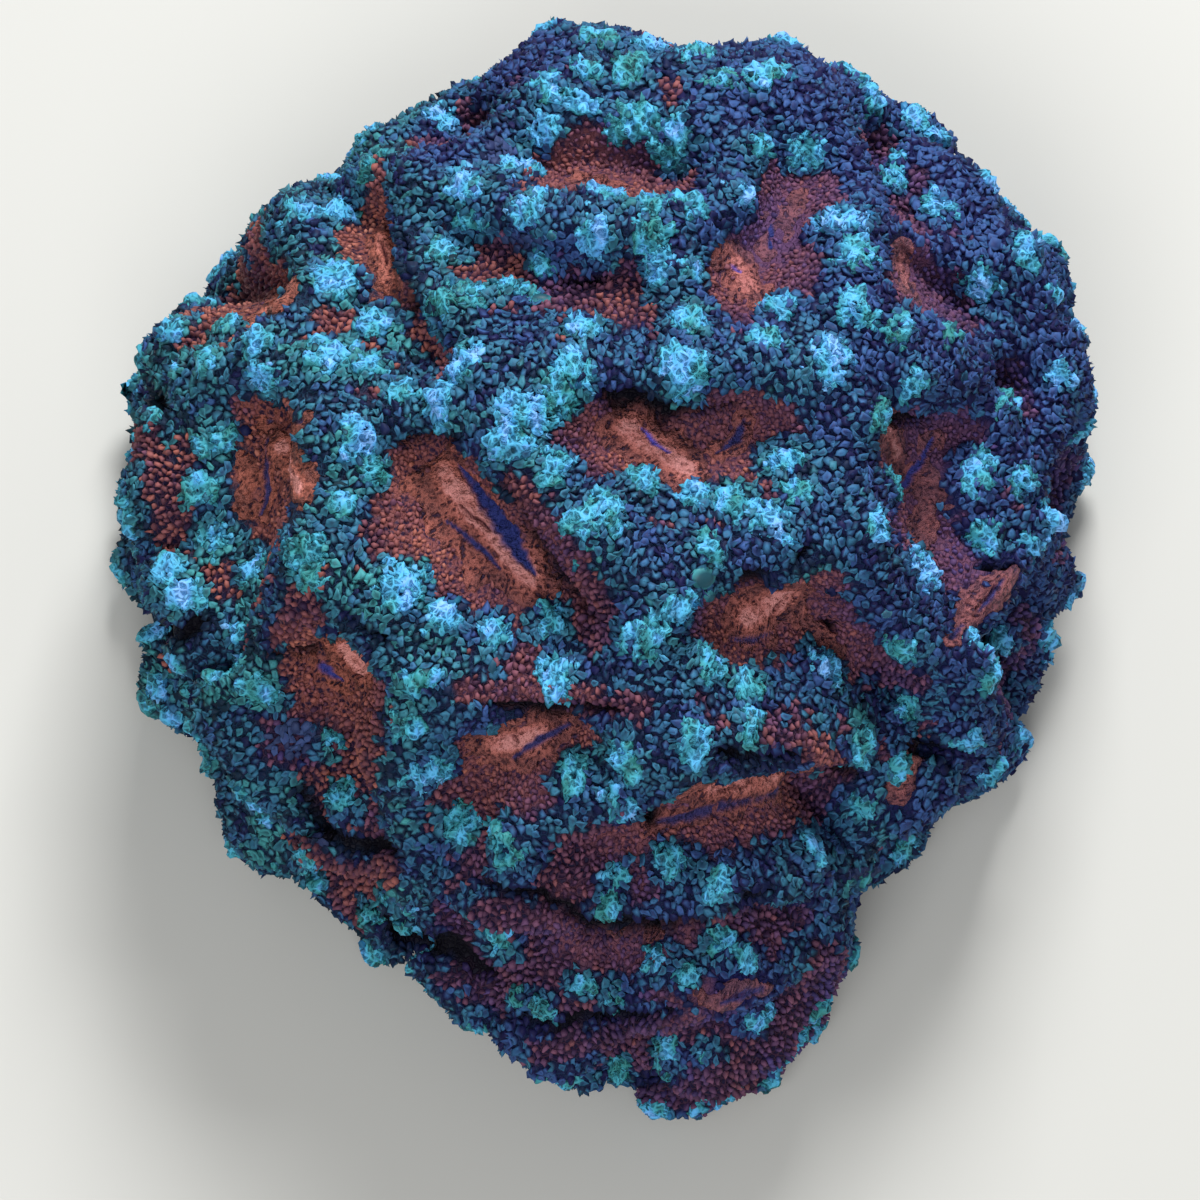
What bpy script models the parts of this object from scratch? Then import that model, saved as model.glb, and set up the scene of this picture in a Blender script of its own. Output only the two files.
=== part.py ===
"""An acan coral colony: one boulder-shaped mass of fleshy polyps, cut off flat where it grew on the reef.

Numbers here are millimetres and the mesh is in metres. +Z is up, the origin is the middle of the flat cut, and -Y is
the front of the colony. The colony is a dome over an uneven outline, widest a little above the cut. The mouths of the
polyps lie in valleys. Between two neighbouring mouths the tissue swells into a broad ridge that leans towards the front
of the colony, and each tuft of papillae makes a lump on its ridge.

Places on the colony are given as (across, up) on a sloping plane, the one that faces a person who looks down on the
colony from the front. A place is then the first point of the colony met along the plane's normal.
"""

import math

import bpy
import numpy as np

# Driving dimensions, in millimetres.
CROWN_HEIGHT = 50.0
GIRDLE_HEIGHT = 12.0
CUT_INSET = 5.0
RIDGE_HEIGHT = 6.2
RIDGE_LEAN = 4.2
USUAL_HALF_CELL = 8.5
TUFT_HEIGHT = 1.1
LIP_HEIGHT = 1.2
SWELL_HEIGHT = 0.8
FOOT_FADE = 7.0
SOFTEN_REACH = 0.8

# The dome's profile is a superellipse of this power, and the foot turns in by this angle.
DOME_POWER = 2.25
FOOT_TURN = math.radians(64.0)

# The outline's lobes start at this share of the radius, and further in it is averaged this many times.
LOBE_START = 0.78
LOBE_EVENING = 120

# The sloping plane's normal is this far above the horizon.
PLANE_TILT = math.radians(72.0)
ACROSS = np.array([1.0, 0.0, 0.0])
UP = np.array([0.0, math.sin(PLANE_TILT), math.cos(PLANE_TILT)])
OUT = np.array([0.0, -math.cos(PLANE_TILT), math.sin(PLANE_TILT)])
LEAN_WAY = -0.25 * ACROSS - 0.97 * UP

# The mesh: a square grid laid over the dome, then thinned to this many triangles.
GRID = 221
FIT_GRID = 101
FIT_ROUNDS = 6
FIT_BINS = 90
TRIANGLES = 9700
CUT_FLATNESS = 0.03
MILLIMETRE = 0.001
SEED = 11

# The colony's outline on the sloping plane, clockwise from the top.
OUTLINE = [
    (0.4, 58.4), (4.4, 57.7), (8.6, 56.0), (12.9, 55.5), (16.0, 55.9), (20.5, 55.4), (26.9, 53.2), (31.5, 50.3),
    (34.3, 49.1), (35.0, 47.1), (36.8, 45.8), (40.1, 43.8), (40.9, 42.0), (41.7, 39.7), (45.5, 36.4), (46.6, 34.5),
    (47.8, 30.8), (48.4, 27.6), (49.5, 23.1), (49.8, 20.0), (50.2, 16.0), (49.7, 12.5), (47.9, 9.3), (48.6, 6.2),
    (47.5, 4.3), (46.0, 2.6), (46.5, 0.2), (45.5, -2.3), (45.8, -4.9), (44.9, -7.0), (42.9, -10.4), (43.2, -14.4),
    (42.2, -16.8), (40.1, -18.7), (35.3, -20.9), (32.0, -25.8), (27.8, -29.2), (26.0, -32.9), (24.1, -36.0), (23.3, -39.8),
    (21.2, -42.8), (20.0, -46.5), (17.0, -48.9), (13.7, -50.1), (11.5, -50.6), (10.6, -51.9), (8.8, -52.2), (6.4, -51.1),
    (4.2, -50.3), (2.8, -48.7), (0.3, -49.1), (-1.6, -49.6), (-3.6, -48.6), (-6.0, -48.2), (-8.2, -45.8), (-11.1, -43.7),
    (-14.9, -41.1), (-17.2, -38.9), (-18.6, -36.9), (-21.0, -36.2), (-24.0, -33.8), (-27.2, -31.0), (-31.0, -28.5),
    (-35.0, -27.4), (-37.2, -24.8), (-38.9, -21.0), (-39.7, -17.0), (-41.1, -13.7), (-44.2, -12.0), (-46.0, -8.3),
    (-46.8, -4.6), (-46.4, -1.9), (-47.6, -0.1), (-49.2, 3.0), (-49.9, 5.4), (-49.6, 8.8), (-48.4, 12.7), (-47.4, 16.6),
    (-47.3, 20.4), (-46.1, 25.2), (-44.1, 28.3), (-40.6, 30.6), (-39.3, 32.9), (-38.7, 35.6), (-35.8, 37.6),
    (-34.2, 39.6), (-31.6, 41.2), (-28.3, 41.9), (-26.6, 43.7), (-24.4, 46.4), (-20.4, 48.8), (-15.6, 51.1),
    (-12.4, 53.6), (-9.0, 55.6), (-5.6, 57.8), (-2.5, 58.3),
]

# The line of each polyp's mouth on the sloping plane.
MOUTHS = [
    [(-31.2, 17.4), (-31.0, 12.1), (-33.0, 5.6)],
    [(-16.5, 14.1), (-11.0, 7.1), (-3.5, -0.9)],
    [(3.0, 16.4), (9.0, 14.8), (14.2, 16.8)],
    [(13.0, -1.4), (20.0, -0.8), (24.5, -4.4), (28.0, -8.4)],
    [(-3.0, -12.4), (-9.5, -14.2), (-12.6, -19.4)],
    [(-1.0, -23.4), (6.5, -21.0), (14.0, -18.4), (21.5, -16.4)],
    [(-24.5, -5.4), (-26.5, -9.9), (-23.0, -16.4)],
    [(-5.2, 42.4), (1.0, 42.8), (6.8, 42.2)],
    [(14.0, 32.3), (17.0, 36.1), (19.7, 42.1)],
    [(30.4, 32.8), (34.6, 30.0)],
    [(34.8, 17.6), (30.0, 15.1), (31.2, 8.1)],
    [(42.2, 1.4), (37.0, -2.0), (38.5, -6.0)],
    [(-36.6, 31.6), (-30.5, 30.6)],
    [(-21.5, 36.6), (-21.0, 30.1), (-17.0, 24.6)],
    [(-12.5, -29.2), (-5.0, -32.2), (2.0, -33.4), (9.0, -32.8), (16.0, -31.2)],
    [(-6.0, -43.2), (2.0, -42.8), (10.0, -40.8), (15.5, -38.8)],
    [(-29.6, -22.4), (-25.5, -25.0), (-20.0, -26.0)],
    [(29.5, -19.4), (33.5, -17.6)],
    [(8.0, -49.0), (15.0, -46.2), (21.6, -40.0)],
    [(-45.6, 16.8), (-44.0, 11.8), (-42.6, 6.2)],
    [(-12.0, 35.0), (-5.0, 31.6), (3.0, 31.0)],
    [(-8.0, 55.0)],
    [(6.8, 51.7)],
    [(-19.3, 47.0)],
    [(-11.4, 45.6)],
    [(27.2, 44.8), (29.4, 38.8)],
    [(36.2, 43.2), (39.6, 39.0)],
    [(44.6, 29.0), (46.4, 25.2)],
    [(38.6, 22.6)],
    [(22.6, 52.0)],
    [(43.6, 15.0), (46.6, 12.0)],
    [(-43.6, -3.2), (-39.4, -3.6)],
    [(-38.4, -14.6), (-34.6, -16.2)],
    [(-17.4, -33.8), (-12.0, -37.2)],
    [(25.2, -27.4)],
]

# The raised lips of the open mouths: across, up, turn in degrees, half length, half width.
LIPS = [
    (-30.7, 13.3, -65.0, 2.4, 1.3), (-11.1, 7.4, -50.0, 6.6, 1.9), (5.6, 15.0, -35.0, 3.4, 2.1),
    (16.6, -0.4, 30.0, 2.2, 1.9), (-8.0, -13.5, 15.0, 2.4, 1.7), (12.6, -18.4, 12.0, 4.6, 1.4),
    (-24.2, -5.8, -50.0, 1.2, 1.7), (-0.5, 42.1, -10.0, 1.6, 1.0), (14.2, 32.3, -60.0, 1.3, 1.4),
    (30.2, 32.9, -80.0, 1.4, 1.0), (28.9, 15.9, -70.0, 1.3, 1.1), (38.4, 0.2, 45.0, 2.8, 1.5),
    (-32.8, 29.7, 15.0, 1.2, 0.9), (-21.4, 34.3, -80.0, 2.4, 1.1), (13.6, -39.0, 12.0, 2.0, 1.3),
    (30.6, -17.5, 60.0, 1.5, 1.0),
]

# Mouths on the sides that the sloping plane doesn't meet: direction round the colony in degrees, height above the cut.
FAR_MOUTHS = [
    (52.0, 14.0), (72.0, 20.0), (90.0, 13.0), (108.0, 19.0), (128.0, 13.0), (150.0, 17.0), (26.0, 12.0), (-6.0, 9.0),
    (186.0, 9.0), (-32.0, 9.0), (212.0, 9.0),
]

# Tufts of long papillae on the sloping plane: across, up, half width.
TUFTS = [
    (-0.2, 56.0, 2.4), (4.8, 55.8, 2.2), (8.9, 54.4, 2.2), (-5.0, 51.6, 2.2), (-1.6, 53.0, 2.2), (3.1, 53.2, 2.4),
    (12.6, 51.8, 2.2), (16.7, 52.4, 2.8), (-5.6, 47.6, 2.0), (-2.0, 49.6, 1.8), (3.4, 47.4, 3.0), (8.1, 47.0, 2.4),
    (7.6, 44.6, 2.0), (15.2, 45.6, 2.2), (21.2, 45.6, 2.6), (27.5, 50.8, 2.4), (32.5, 48.2, 2.4), (38.8, 42.4, 2.0),
    (30.8, 44.8, 2.0), (29.7, 42.4, 2.4), (34.0, 39.8, 2.2), (14.0, 40.4, 2.0), (-8.4, 43.2, 2.6), (-13.0, 41.0, 2.4),
    (-12.6, 38.2, 2.4), (-16.2, 48.4, 2.2), (-0.2, 40.0, 2.4), (-0.4, 35.6, 2.8), (5.0, 39.0, 2.0), (8.2, 39.2, 2.4),
    (5.0, 36.2, 2.2), (6.8, 32.8, 2.8), (-6.8, 38.4, 2.6), (-5.8, 34.0, 1.9), (-15.4, 34.2, 2.4), (-14.6, 29.6, 3.0),
    (-9.6, 30.4, 2.4), (24.0, 37.8, 2.8), (25.2, 34.2, 2.6), (37.6, 32.4, 2.6), (43.0, 34.8, 2.2), (44.8, 31.2, 2.0),
    (-22.8, 44.0, 2.0), (-30.0, 39.0, 2.2), (-26.8, 39.2, 2.4), (-26.2, 31.8, 3.2), (-22.0, 27.4, 2.4), (-26.4, 24.0, 3.0),
    (-23.0, 22.8, 2.2), (-33.6, 25.6, 2.0), (-32.8, 22.2, 2.8), (-38.6, 23.6, 2.2), (-37.4, 27.2, 1.6), (-42.2, 27.4, 2.0),
    (-42.0, 22.6, 2.4), (-19.8, 19.6, 2.2), (-15.4, 19.6, 2.2), (-13.0, 23.2, 2.6), (-24.0, 16.0, 2.6), (-23.0, 13.0, 2.2),
    (-1.6, 26.2, 2.4), (-2.2, 22.4, 2.4), (8.6, 26.8, 2.2), (8.6, 22.6, 3.0), (17.4, 28.8, 2.2), (15.9, 24.9, 2.4),
    (25.4, 28.6, 2.6), (22.0, 23.0, 3.0), (28.6, 26.4, 2.0), (31.4, 21.6, 2.2), (26.8, 18.4, 2.2), (34.4, 26.2, 1.8),
    (40.6, 19.2, 2.4), (46.6, 22.4, 1.8), (48.6, 17.0, 1.8), (-7.4, 18.2, 3.2), (-8.6, 15.2, 2.6), (-3.8, 20.2, 2.4),
    (-4.8, 12.6, 2.4), (-0.2, 8.0, 3.4), (3.6, 11.4, 2.4), (9.2, 9.6, 2.4), (13.2, 9.6, 2.6), (18.4, 13.8, 2.4),
    (20.0, 10.4, 2.2), (16.6, 7.0, 2.4), (10.6, 5.0, 2.0), (29.0, 11.4, 1.8), (26.4, 7.4, 2.4), (37.4, 12.2, 2.8),
    (41.6, 12.4, 2.0), (44.8, 8.8, 2.0), (38.4, 6.2, 2.0), (43.4, 6.4, 2.0), (-38.0, 16.2, 2.6), (-39.6, 10.8, 2.4),
    (-38.4, 6.0, 2.6), (-47.6, 10.8, 1.8), (-46.8, 7.2, 2.0), (-43.2, 3.2, 2.4), (-41.4, 0.6, 2.2), (-34.2, 2.6, 2.4),
    (-35.8, -2.4, 2.4), (-37.4, -6.8, 2.4), (-34.0, -8.2, 2.6), (-25.2, 9.6, 2.0), (-28.8, 5.2, 2.6), (-28.0, 2.6, 2.0),
    (-46.0, -4.0, 1.8), (-45.0, -8.8, 2.0), (-41.6, -8.8, 1.8), (-43.4, -11.8, 1.8), (-19.6, 1.0, 3.4), (-15.6, -2.4, 2.4),
    (-10.0, -3.0, 2.0), (-5.0, -2.8, 2.4), (-4.0, -7.6, 2.6), (4.0, -2.8, 2.8), (7.2, -0.8, 2.6), (10.0, -6.6, 2.6),
    (14.0, -8.8, 2.2), (21.6, -6.8, 2.4), (14.4, -12.0, 2.0), (9.0, -13.8, 2.2), (29.6, -11.4, 2.4), (29.6, -15.8, 1.8),
    (25.8, -14.4, 2.2), (32.0, 2.8, 3.0), (30.2, -5.0, 2.2), (40.4, -3.6, 2.2), (38.4, -7.8, 2.2), (45.2, -3.6, 1.6),
    (36.0, -13.8, 2.2), (42.0, -14.6, 1.8), (39.2, -17.0, 1.8), (-17.4, -7.6, 2.4), (-18.8, -11.6, 2.2), (-17.4, -16.6, 3.0),
    (-27.4, -13.6, 1.9), (-25.4, -19.8, 2.2), (-14.0, -22.4, 2.8), (-9.0, -23.8, 2.4), (-35.2, -18.8, 2.2), (-33.6, -22.0, 2.0),
    (-34.0, -26.4, 2.0), (-29.2, -28.4, 1.8), (-2.4, -16.8, 2.2), (3.0, -15.6, 2.4), (1.4, -19.6, 2.0), (6.6, -25.8, 2.4),
    (1.6, -27.0, 2.0), (1.0, -30.2, 1.8), (12.0, -27.8, 2.2), (20.4, -24.2, 2.2), (26.4, -20.0, 2.0), (30.4, -24.8, 2.2),
    (26.2, -27.8, 2.0), (-23.2, -31.8, 2.0), (-19.8, -32.8, 2.0), (-21.4, -29.8, 1.8), (-9.6, -33.8, 2.0), (6.0, -35.8, 2.0),
    (8.4, -37.4, 2.0), (12.0, -34.2, 2.2), (14.2, -35.6, 1.8), (1.2, -38.9, 1.8), (-2.2, -37.8, 1.6), (-8.0, -39.8, 1.8),
    (-4.8, -40.6, 2.0), (15.2, -41.4, 2.4), (7.0, -44.2, 2.2), (6.4, -46.6, 2.0), (2.0, -46.8, 2.0), (11.0, -45.0, 1.8),
    (20.2, -44.0, 1.8), (-6.0, -47.2, 1.8), (-2.2, -48.0, 1.8), (9.6, -51.0, 2.0), (16.6, -48.2, 1.8),
]

# Tufts on the far sides keep this far apart, and they are this wide.
FAR_TUFT_SPACING = 6.5
FAR_TUFT_WIDTH = 2.3


def clear_scene():
    for obj in list(bpy.data.objects):
        bpy.data.objects.remove(obj, do_unlink=True)


def smoothstep(low, high, value):
    """Rises from 0 to 1 between low and high, level at both ends."""
    share = np.clip((value - low) / (high - low), 0.0, 1.0)
    return share * share * (3.0 - 2.0 * share)


def unit(vectors):
    return vectors / np.maximum(np.linalg.norm(vectors, axis=-1, keepdims=True), 1e-9)


def outline_reach(directions):
    """How far the outline is from the girdle's centre on the sloping plane, in each direction."""
    points = np.array(OUTLINE) - (0.0, GIRDLE_HEIGHT * UP[2])
    angle = np.arctan2(points[:, 1], points[:, 0])
    order = np.argsort(angle)
    return np.interp(directions, angle[order], np.hypot(*points.T)[order], period=math.tau)


def profile():
    """The dome's section, from the crown to the cut: share of the girdle's radius, height, distance run along it."""
    phi = np.linspace(0.0, math.pi / 2, 300)
    share = np.sin(phi) ** (2.0 / DOME_POWER)
    height = GIRDLE_HEIGHT + (CROWN_HEIGHT - GIRDLE_HEIGHT) * np.cos(phi) ** (2.0 / DOME_POWER)
    psi = np.linspace(0.0, FOOT_TURN, 40)[1:]
    foot_share = 1.0 - (CUT_INSET / 50.0) * (1.0 - np.cos(psi)) / (1.0 - math.cos(FOOT_TURN))
    foot_height = GIRDLE_HEIGHT * (1.0 - np.sin(psi) / math.sin(FOOT_TURN))
    share = np.concatenate([share, foot_share])
    height = np.concatenate([height, foot_height])
    steps = np.hypot(50.0 * np.diff(share), np.diff(height))
    return share, height, np.concatenate([[0.0], np.cumsum(steps)])


def disc_grid(count):
    """A square grid laid on a disc: each square ring becomes a round one. Gives the radius share and direction."""
    line = np.linspace(-1.0, 1.0, count)
    u, v = np.meshgrid(line, line, indexing="ij")
    flat = np.abs(u) >= np.abs(v)
    radius = np.where(flat, u, v)
    safe = np.where(np.abs(radius) < 1e-9, 1.0, radius)
    angle = np.where(flat, (math.pi / 4) * v / safe, math.pi / 2 - (math.pi / 4) * u / safe)
    return radius * np.cos(angle), radius * np.sin(angle)


def evened(ring, rounds):
    """A closed ring of values, averaged with their neighbours a number of times."""
    for _ in range(rounds):
        ring = 0.5 * ring + 0.25 * (np.roll(ring, 1) + np.roll(ring, -1))
    return ring


class Dome:
    """The colony's form without its ridges, over a girdle whose radius is given for directions all round.

    The girdle's lobes fade out up the dome, where its radius is evened.
    """

    def __init__(self, girdle):
        self.girdle = girdle
        self.even_girdle = evened(girdle, LOBE_EVENING)
        self.directions = np.linspace(-math.pi, math.pi, len(girdle), endpoint=False)
        self.share, self.height, self.run = profile()

    def edge(self, direction, share):
        """The girdle's radius, as it counts at a share of the way out from the dome's axis."""
        even = np.interp(direction, self.directions, self.even_girdle, period=math.tau)
        lobed = np.interp(direction, self.directions, self.girdle, period=math.tau)
        return even + (lobed - even) * smoothstep(LOBE_START, 1.0, share)

    def points(self, count):
        """The grid's points on the dome, and each one's distance along the section to the cut."""
        x, y = disc_grid(count)
        reach = np.hypot(x, y) * self.run[-1]
        direction = np.arctan2(y, x)
        share = np.interp(reach, self.run, self.share)
        height = np.interp(reach, self.run, self.height)
        radius = share * self.edge(direction, np.where(height < GIRDLE_HEIGHT, 1.0, share))
        height[[0, -1], :] = 0.0
        height[:, [0, -1]] = 0.0
        points = np.stack([radius * np.cos(direction), radius * np.sin(direction), height], axis=-1)
        return points, self.run[-1] - reach

    def hit(self, places):
        """The first point of the dome met from outside along the sloping plane's normal, at each (across, up)."""
        depth = np.linspace(75.0, -45.0, 481)
        places = np.asarray(places, float).reshape(-1, 2)
        line = places[:, :1, None] * ACROSS + places[:, 1:, None] * UP + depth[None, :, None] * OUT
        radius = np.hypot(line[..., 0], line[..., 1])
        direction = np.arctan2(line[..., 1], line[..., 0])
        edge = self.edge(direction, radius / self.edge(direction, 0.0))
        rise = (line[..., 2] - GIRDLE_HEIGHT) / (CROWN_HEIGHT - GIRDLE_HEIGHT)
        rise = np.where(rise < 0.0, rise * 3.0, rise)
        form = (radius / edge) ** DOME_POWER + np.abs(rise) ** DOME_POWER
        inside = form <= 1.0
        first = np.where(inside.any(axis=1), inside.argmax(axis=1), form.argmin(axis=1))
        return line[np.arange(len(places)), first]

    def side(self, direction, height):
        """The point of the dome at a direction in degrees and a height."""
        direction = math.radians(direction)
        fall = ((height - GIRDLE_HEIGHT) / (CROWN_HEIGHT - GIRDLE_HEIGHT)) if height > GIRDLE_HEIGHT else 0.0
        radius = self.edge(direction, 1.0) * (1.0 - fall**DOME_POWER) ** (1.0 / DOME_POWER)
        return np.array([radius * math.cos(direction), radius * math.sin(direction), height])


def mouth_lines(dome):
    """Each mouth's line as points on the dome, about 2.5 mm apart."""
    lines = []
    for line in MOUTHS:
        places = [np.array(line[0])]
        for start, end in zip(line, line[1:]):
            start, end = np.array(start), np.array(end)
            steps = max(1, round(float(np.linalg.norm(end - start)) / 2.5))
            places += [start + (end - start) * k / steps for k in range(1, steps + 1)]
        lines.append(dome.hit(places))
    lines += [dome.side(*place)[None] for place in FAR_MOUTHS]
    return lines


def lip_lines(dome):
    """Each pair of lips as a short line on the dome, with its half width."""
    lines = []
    for across, up, turn, half_length, half_width in LIPS:
        step = half_length * np.array([math.cos(math.radians(turn)), math.sin(math.radians(turn))])
        middle = np.array([across, up])
        lines.append((dome.hit([middle - step, middle, middle + step]), half_width))
    return lines


def nearest_on_line(points, line):
    """The point of an open line that is nearest to each point."""
    best = line[0] + 0.0 * points
    gap = np.linalg.norm(points - best, axis=-1)
    for start, end in zip(line, line[1:]):
        along = end - start
        share = np.clip((points - start) @ along / max(along @ along, 1e-9), 0.0, 1.0)
        found = start + share[..., None] * along
        distance = np.linalg.norm(points - found, axis=-1)
        closer = distance < gap
        best[closer] = found[closer]
        gap = np.minimum(gap, distance)
    return best, gap


def cells(points, to_cut, lines):
    """For each point: its distances to the nearest and the next mouth, and those two mouths' nearest points.

    The edge of the cut counts as one more mouth, so that the tissue turns in to it.
    """
    first = to_cut + 0.0
    second = np.full(first.shape, 1e6)
    near = points + [0.0, 0.0, -1.0]
    after = near.copy()
    for line in lines:
        found, gap = nearest_on_line(points, line)
        wins = gap < first
        runs_up = ~wins & (gap < second)
        second = np.where(wins, first, np.where(runs_up, gap, second))
        after[wins] = near[wins]
        after[runs_up] = found[runs_up]
        first = np.where(wins, gap, first)
        near[wins] = found[wins]
    return first, second, near, after


def normals(points):
    """The outward normal of a grid of points."""
    return unit(np.cross(np.gradient(points, axis=0), np.gradient(points, axis=1)))


def softened(shift, points):
    """A grid of shifts, averaged with their neighbours over about SOFTEN_REACH millimetres, and kept at the edge."""
    spacing = float(np.median(np.linalg.norm(np.diff(points, axis=0), axis=-1)))
    for _ in range(max(1, round(2.0 * (SOFTEN_REACH / spacing) ** 2))):
        middle = 0.5 * shift[1:-1, 1:-1]
        sides = shift[:-2, 1:-1] + shift[2:, 1:-1] + shift[1:-1, :-2] + shift[1:-1, 2:]
        shift = shift.copy()
        shift[1:-1, 1:-1] = middle + 0.125 * sides
    return shift


def swell(points):
    """A gentle unevenness: a sum of waves 20 to 50 mm long, from -1 to 1."""
    x, y, z = (points[..., k] for k in range(3))
    waves = np.sin(0.16 * x + 0.11 * y + 0.4) + np.sin(0.21 * y - 0.13 * z + 2.1)
    return (waves + np.sin(0.14 * z - 0.19 * x + 1.3) + np.sin(0.27 * x + 0.23 * y + 3.3)) / 4.0


def lip_rise(points, lips):
    """The height of the lips: a rounded mound along each line."""
    rise = np.zeros(points.shape[:-1])
    for line, half_width in lips:
        gap = nearest_on_line(points, line)[1]
        rise = np.maximum(rise, np.clip(1.0 - (gap / (1.5 * half_width)) ** 2, 0.0, 1.0) ** 2)
    return LIP_HEIGHT * rise


def ridged(points, to_cut, lines, lips):
    """The dome's points moved out onto the ridges. Also gives the ridge share, 0 at a mouth to 1 on a crest."""
    first, second, near, after = cells(points, to_cut, lines)
    half = 0.5 * (first + second)
    rise = np.clip((first / half - 0.14) / 0.86, 0.0, 1.0)
    share = 1.0 - (1.0 - rise**1.5) ** 2.2
    size = np.minimum(half / USUAL_HALF_CELL, 1.1)
    normal = normals(points)
    way = LEAN_WAY - (normal @ LEAN_WAY)[..., None] * normal
    way /= np.maximum(np.linalg.norm(way, axis=-1, keepdims=True), 0.45)
    foot = smoothstep(0.0, FOOT_FADE, to_cut)
    out = share * size * RIDGE_HEIGHT + (SWELL_HEIGHT * swell(points) + lip_rise(points, lips)) * foot
    lean = share * np.minimum(size, 1.0) * RIDGE_LEAN * foot
    moved = points + softened(out[..., None] * normal + lean[..., None] * way, points)
    moved[..., 2] = np.where(to_cut > 0.0, np.maximum(moved[..., 2], 0.02 * to_cut), 0.0)
    return moved, share, unit(after - near)


def fitted_dome():
    """The dome whose ridges, seen along the sloping plane's normal, reach the outline all round."""
    directions = np.linspace(-math.pi, math.pi, 180, endpoint=False)
    centre_up = GIRDLE_HEIGHT * UP[2]
    girdle = outline_reach(directions) - RIDGE_HEIGHT * 0.6
    bins = (np.arange(FIT_BINS) + 0.5) * math.tau / FIT_BINS - math.pi
    for _ in range(FIT_ROUNDS):
        dome = Dome(girdle)
        points, to_cut = dome.points(FIT_GRID)
        moved = ridged(points, to_cut, mouth_lines(dome), lip_lines(dome))[0].reshape(-1, 3)
        across, up = moved @ ACROSS, moved @ UP - centre_up
        slot = ((np.arctan2(up, across) + math.pi) / math.tau * FIT_BINS).astype(int) % FIT_BINS
        reach = np.zeros(FIT_BINS)
        np.maximum.at(reach, slot, np.hypot(across, up))
        short = outline_reach(bins) - reach
        girdle = evened(girdle + 0.8 * np.interp(directions, bins, short, period=math.tau), 1)
    return Dome(girdle)


def seen_at(points, places):
    """For each (across, up), the grid point that is met first along the sloping plane's normal."""
    flat = points.reshape(-1, 3)
    across, up, depth = flat @ ACROSS, flat @ UP, flat @ OUT
    found = []
    for a, b in places:
        gap = np.hypot(across - a, up - b)
        close = gap < max(0.9, float(gap.min()) + 0.05)
        front = depth[close].max()
        found.append(int(np.where(close & (depth > front - 1.2), gap, 1e6).argmin()))
    return np.array(found)


def far_tufts(points, share):
    """Crest points on the sides that the sloping plane doesn't meet, a fixed distance apart, in a seeded order."""
    flat = points.reshape(-1, 3)
    facing = normals(points).reshape(-1, 3) @ OUT
    able = np.flatnonzero((share.ravel() > 0.85) & (facing < -0.05) & (flat[:, 2] > 4.0))
    able = np.random.default_rng(SEED).permutation(able)
    kept = []
    for index in able:
        if all(np.linalg.norm(flat[index] - flat[other]) > FAR_TUFT_SPACING for other in kept):
            kept.append(int(index))
    return kept


def tuft_lumps(points, share, ways):
    """The height of the tufts' lumps: each is a smooth mound, a third longer across its ridge than along it."""
    flat, lean = points.reshape(-1, 3), ways.reshape(-1, 3)
    near = seen_at(points, [place[:2] for place in TUFTS])
    far = far_tufts(points, share)
    widths = [place[2] for place in TUFTS] + [FAR_TUFT_WIDTH] * len(far)
    lump = np.zeros(len(flat))
    for index, width in zip([*near, *far], widths):
        gap = flat - flat[index]
        along = gap @ lean[index]
        across = np.sqrt(np.maximum((gap**2).sum(axis=1) - along**2, 0.0))
        reach = (along / (1.7 * width)) ** 2 + (across / (1.3 * width)) ** 2
        lump = np.maximum(lump, np.clip(1.0 - reach, 0.0, 1.0) ** 1.5)
    return lump.reshape(share.shape) * TUFT_HEIGHT


def grid_mesh(name, points):
    """A closed mesh: the grid of points as quads, and one flat face across its lowest ring."""
    count = points.shape[0]
    index = np.arange(count * count).reshape(count, count)
    quads = np.stack([index[:-1, :-1], index[1:, :-1], index[1:, 1:], index[:-1, 1:]], axis=-1).reshape(-1, 4)
    ring = np.concatenate([index[:-1, 0], index[-1, :-1], index[:0:-1, -1], index[0, :0:-1]])
    mesh = bpy.data.meshes.new(name)
    mesh.from_pydata((points.reshape(-1, 3) * MILLIMETRE).tolist(), [], quads.tolist() + [ring[::-1].tolist()])
    mesh.validate()
    return mesh


def thin(colony):
    """Thins the mesh to TRIANGLES, closest where it curves most, and keeps the cut exactly flat."""
    thinned = colony.modifiers.new("thinned", "DECIMATE")
    thinned.ratio = TRIANGLES / (2.0 * (GRID - 1) ** 2 + 4.0 * (GRID - 1))
    bpy.context.view_layer.update()
    mesh = bpy.data.meshes.new_from_object(colony.evaluated_get(bpy.context.evaluated_depsgraph_get()))
    colony.modifiers.remove(thinned)
    colony.data = mesh
    place = np.empty(len(mesh.vertices) * 3, np.float32)
    mesh.vertices.foreach_get("co", place)
    place = place.reshape(-1, 3)
    place[place[:, 2] < CUT_FLATNESS * MILLIMETRE, 2] = 0.0
    mesh.vertices.foreach_set("co", place.ravel())
    mesh.update()


def tissue_material():
    """Living coral tissue: dark teal and rust in the mass, moist."""
    material = bpy.data.materials.new("living_coral_tissue")
    material.use_nodes = True
    shader = material.node_tree.nodes["Principled BSDF"]
    shader.inputs["Base Color"].default_value = (0.055, 0.13, 0.17, 1.0)
    shader.inputs["Roughness"].default_value = 0.55
    shader.inputs["Metallic"].default_value = 0.0
    return material


def coral_colony():
    """The whole colony as one closed solid."""
    dome = fitted_dome()
    points, to_cut = dome.points(GRID)
    moved, share, ways = ridged(points, to_cut, mouth_lines(dome), lip_lines(dome))
    lump = tuft_lumps(moved, share, ways) * smoothstep(0.0, FOOT_FADE, to_cut)
    moved = moved + lump[..., None] * normals(points)
    colony = bpy.data.objects.new("coral_colony", grid_mesh("coral_colony", moved))
    bpy.context.scene.collection.objects.link(colony)
    thin(colony)
    colony.data.materials.append(tissue_material())
    colony.data.shade_smooth()


def main():
    clear_scene()
    coral_colony()


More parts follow.
